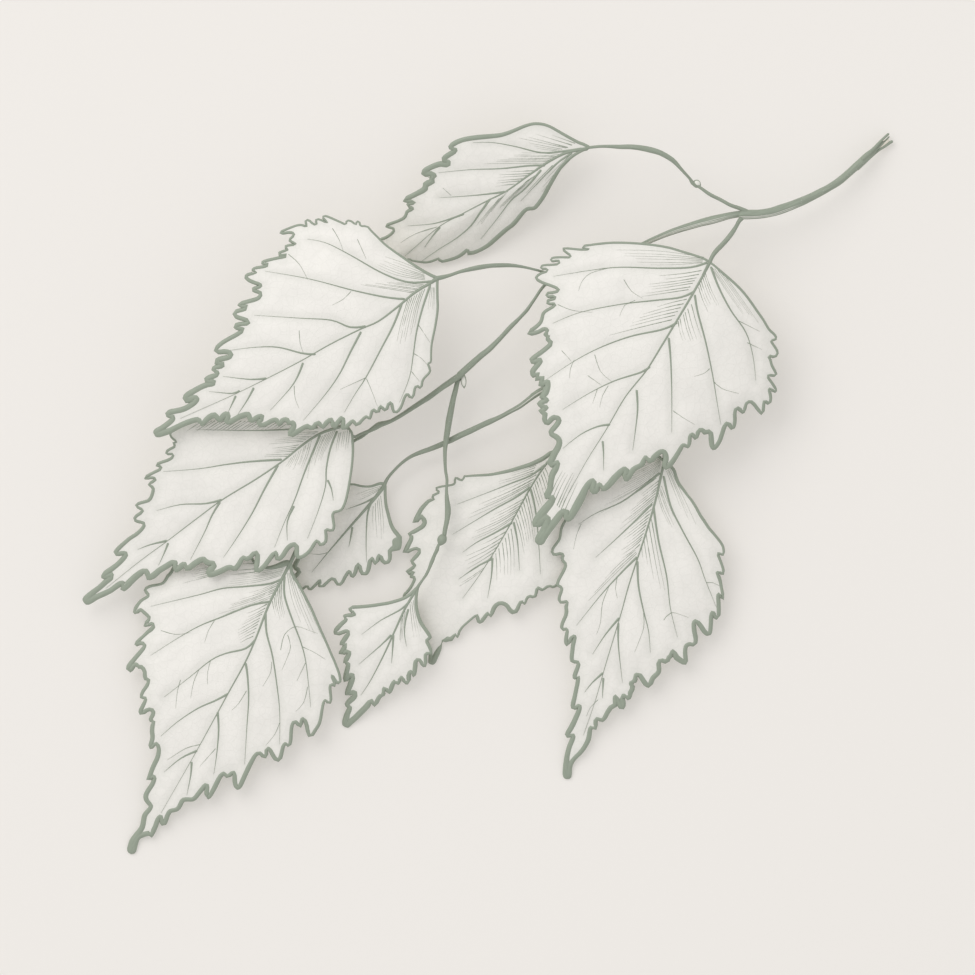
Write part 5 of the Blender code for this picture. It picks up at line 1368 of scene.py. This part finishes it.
def make_shoot(name, points, wood, materials):
    """One stretch of wood, ridged lengthwise, with shallow grooves sunk into it along the painted highlight lanes
    where its table shows them.
    """
    cage = new_cage()
    path = rod_path(smooth_route(points, WOOD_SPACING))
    lanes, shown = GROOVES_AND_PAINTED_HIGHLIGHTS.get(name, ((), {0: 0, 1: 0}))
    last = len(path) - 1
    # The depth attribute carries how strongly the painted highlight lanes show along the shoot.
    path = [(*station[:4], stop_value(shown, number / last)) for number, station in enumerate(path)]
    stations = stations_of(path)
    rings = sweep(cage, stations, WOOD_SIDES, BARK)
    for ring, station in zip(rings, stations):
        flat = station.frame.inverted()
        for corner in ring:
            across = flat @ corner.co
            along = station.along / MM
            ridge = noise.noise(Vector((across.x * 2.4, across.y * 2.4, along * 0.16 + len(name))))
            swelling = noise.noise(Vector((across.x * 0.5, across.y * 0.5, along * 0.6)))
            slit = sum(exp(-((across.x - lane) / (1.6 * half)) ** 2) for lane, half in lanes)
            slit = slit if across.y > 0 else 0
            gain = 1 + wood.ridging * (ridge + 0.6 * swelling - 1.4 * slit * station.depth)
            corner.co = station.frame @ Vector((across.x * gain, across.y * gain, 0))
    if name == "main_stem":
        for material, strips in ((BARK, SPLIT_END["bark"]), (CUT_WOOD, SPLIT_END["wood"])):
            for strip in strips:
                sweep(cage, stations_of(rod_path(smooth_route(strip, WOOD_SPACING))), STALK_SIDES, material)
    return finish_piece("bark_" + name, cage, materials, name)


def make_bud(name, bud, colours, material):
    """A bud of overlapping scales: closed egg-shaped shells, each leaning out a little and set round the axis."""
    cage = new_cage()
    depth = cage.verts.layers.float["depth"]
    grain = cage.verts.layers.float_vector["grain"]
    half_length, half_width = bud["length"] * UNIT / 2, bud["width"] * UNIT / 2
    for number in range(bud["scales"] + 1):
        tier = number / bud["scales"]
        scale = bmesh.ops.create_uvsphere(cage, u_segments=18, v_segments=14, radius=1)["verts"]
        bmesh.ops.rotate(cage, verts=scale, cent=(0, 0, 0), matrix=Matrix.Rotation(radians(90), 3, "Y"))
        for corner in scale:
            forward = corner.co.x
            belly = 1 - 0.5 * max(forward, 0) ** 2
            corner.co = (forward, corner.co.y * belly, corner.co.z * belly)
        turn = number * radians(SCALE_TURN)
        size = mix(1, 0.8, 1 - tier)
        tilt = radians(SCALE_TILT if number < bud["scales"] else 0)
        lean = Matrix.Rotation(turn, 3, "X") @ Matrix.Rotation(tilt, 3, "Z")
        bmesh.ops.rotate(cage, verts=scale, cent=(0, 0, 0), matrix=lean)
        reach = half_length * mix(0.62, 1, tier)
        bmesh.ops.scale(cage, verts=scale, vec=(reach, half_width * size, half_width * size))
        bmesh.ops.translate(cage, verts=scale, vec=(-half_length * mix(0.38, 0, tier), 0, 0))
        for corner in scale:
            corner[grain] = (corner.co.x / MM, corner.co.y / MM, corner.co.z / MM)
            corner[depth] = min(hypot(corner.co.x / half_length, corner.co.y / half_width), 1)
    for face in cage.faces:
        face.smooth = True
    heading = Matrix.Rotation(radians(bud["heading"]), 3, "Z")
    bmesh.ops.rotate(cage, verts=cage.verts, cent=(0, 0, 0), matrix=heading)
    bmesh.ops.translate(cage, verts=cage.verts, vec=place(*bud["middle"]))
    bmesh.ops.recalc_face_normals(cage, faces=cage.faces[:])
    return finish_piece("scaled_" + name, cage, [material], name)


class BIRCH_OT_wood(bpy.types.Operator):
    """Model the main stem and the shoots that fork from it"""
    bl_idname = "birch.wood"
    bl_label = "Wood"

    def execute(self, context):
        wood = context.scene.birch_wood
        fresh = cut_material("cut_wood", wood.cut_colour)
        for name, points in WOOD.items():
            # The lanes of painted highlight on this shoot's bark.
            lanes = GROOVES_AND_PAINTED_HIGHLIGHTS[name][0] if name in GROOVES_AND_PAINTED_HIGHLIGHTS else ()
            bark = bark_material("bark_of_" + name, wood.bark_colour, wood.pale_and_highlight_colour, lanes)
            make_shoot(name, points, wood, [bark, fresh])
        return {"FINISHED"}


class BIRCH_OT_buds(bpy.types.Operator):
    """Model the three buds with their overlapping scales"""
    bl_idname = "birch.buds"
    bl_label = "Buds"

    def execute(self, context):
        wood = context.scene.birch_wood
        for name, bud in BUDS.items():
            scales = bud_material("scales_" + name, wood.bark_colour, wood.pale_and_highlight_colour, bud["dark"])
            make_bud(name, bud, wood, scales)
        return {"FINISHED"}


class BIRCH_OT_leaves(bpy.types.Operator):
    """Model the nine leaves with their margins, veins, hairs and stalks"""
    bl_idname = "birch.leaves"
    bl_label = "Leaves"

    def execute(self, context):
        shape = context.scene.birch_leaf
        wood = context.scene.birch_wood
        materials = [
            blade_material("leaf_face", shape.face_colour, shape.vein_colour, 0.14),
            blade_material("leaf_underside", shape.underside_colour, shape.vein_colour, 0.2),
            vein_material("leaf_vein", shape.vein_colour, shape.face_colour),
            bark_material("leaf_stalk", wood.bark_colour, wood.pale_and_highlight_colour),
        ]
        chance = random.Random(11)
        for name, leaf in LEAVES.items():
            surface = BladeSurface(leaf, shape)
            cage = new_cage()
            draw_margin(cage, surface)
            draw_veins(cage, surface)
            draw_hairs(cage, surface, chance)
            make_stalk(cage, surface)
            lines = bpy.data.meshes.new("lines")
            cage.to_mesh(lines)
            cage.free()
            cage = new_cage()
            make_blade(cage, surface)
            cage.from_mesh(lines)
            bpy.data.meshes.remove(lines)
            finish_piece("birch_" + name, cage, materials, name)
        return {"FINISHED"}


class BIRCH_OT_stage(bpy.types.Operator):
    """Lay the pale surface, set the lights and point the camera straight down"""
    bl_idname = "birch.stage"
    bl_label = "Surface, light and camera"

    def execute(self, context):
        stage = context.scene.birch_stage
        scene = context.scene
        shader = Shader("pale_surface", roughness=0.85)
        shade = shader.noise(shader.object_place(), 900, 4)
        lit = 1 - stage.glow
        darker, lighter = (opaque(stage.floor_colour, share * lit) for share in (0.994, 1.006))
        colour = shader.blend(shade, darker, lighter)
        shader.feed(shader.surface.inputs["Base Color"], colour)
        shader.feed(shader.surface.inputs["Emission Color"], opaque(stage.floor_colour))
        shader.feed(shader.surface.inputs["Emission Strength"], stage.glow)
        cage = bmesh.new()
        bmesh.ops.create_grid(cage, x_segments=4, y_segments=4, size=stage.floor_size / 2)
        mesh = bpy.data.meshes.new("surface")
        cage.to_mesh(mesh)
        cage.free()
        mesh.materials.append(shader.material)
        floor_object = bpy.data.objects.new("surface", mesh)
        scene.collection.objects.link(floor_object)
        floor_object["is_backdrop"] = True

        world = bpy.data.worlds.new("studio")
        scene.world = world
        world.use_nodes = True
        background = world.node_tree.nodes["Background"]
        background.inputs["Color"].default_value = (1, 1, 1, 1)
        background.inputs["Strength"].default_value = stage.sky

        lamp = bpy.data.lights.new("softbox", "AREA")
        lamp.shape = "DISK"
        lamp.size = 1.4
        lamp.energy = stage.key
        lamp.color = (1, 0.99, 0.98)
        softbox = bpy.data.objects.new("softbox", lamp)
        softbox.location = (-0.75, 0.95, 1.25)
        softbox.rotation_euler = (-softbox.location).to_track_quat("-Z", "Y").to_euler()
        softbox.visible_camera = False
        scene.collection.objects.link(softbox)

        camera = bpy.data.cameras.new("camera")
        camera.lens = stage.lens
        camera.clip_end = 20
        eye = bpy.data.objects.new("camera", camera)
        middle = place((SKETCH_SIZE - 1) / 2, (SKETCH_SIZE - 1) / 2, 8)
        distance = SKETCH_SIZE * UNIT / 2 / tan(camera.angle / 2)
        eye.location = middle + Vector((0, 0, distance))
        scene.collection.objects.link(eye)
        scene.camera = eye
        scene.view_settings.view_transform = "Standard"
        return {"FINISHED"}


class BIRCH_PT_panel(bpy.types.Panel):
    """Settings of the twig and a button for each group of pieces"""
    bl_idname = "BIRCH_PT_panel"
    bl_label = "Birch twig"
    bl_space_type = "VIEW_3D"
    bl_region_type = "UI"
    bl_category = "Birch twig"

    def draw(self, context):
        for operator in OPERATORS:
            self.layout.operator(operator.bl_idname)
        for name, group in SETTINGS.items():
            box = self.layout.box()
            for setting in group.__annotations__:
                box.prop(getattr(context.scene, name), setting)


OPERATORS = (BIRCH_OT_wood, BIRCH_OT_buds, BIRCH_OT_leaves, BIRCH_OT_stage)
CLASSES = (*SETTINGS.values(), *OPERATORS, BIRCH_PT_panel)


def register():
    for cls in CLASSES:
        bpy.utils.register_class(cls)
    for name, group in SETTINGS.items():
        setattr(bpy.types.Scene, name, bpy.props.PointerProperty(type=group))


def unregister():
    for name in SETTINGS:
        delattr(bpy.types.Scene, name)
    for cls in reversed(CLASSES):
        bpy.utils.unregister_class(cls)


def main():
    register()
    bpy.ops.birch.wood()
    bpy.ops.birch.buds()
    bpy.ops.birch.leaves()
    bpy.ops.birch.stage()
    sizes = {"cad": cad_box, "visual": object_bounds()}
    sizes = {name: [[float(number) for number in corner] for corner in box] for name, box in sizes.items()}


if __name__ == "__main__":
    main()
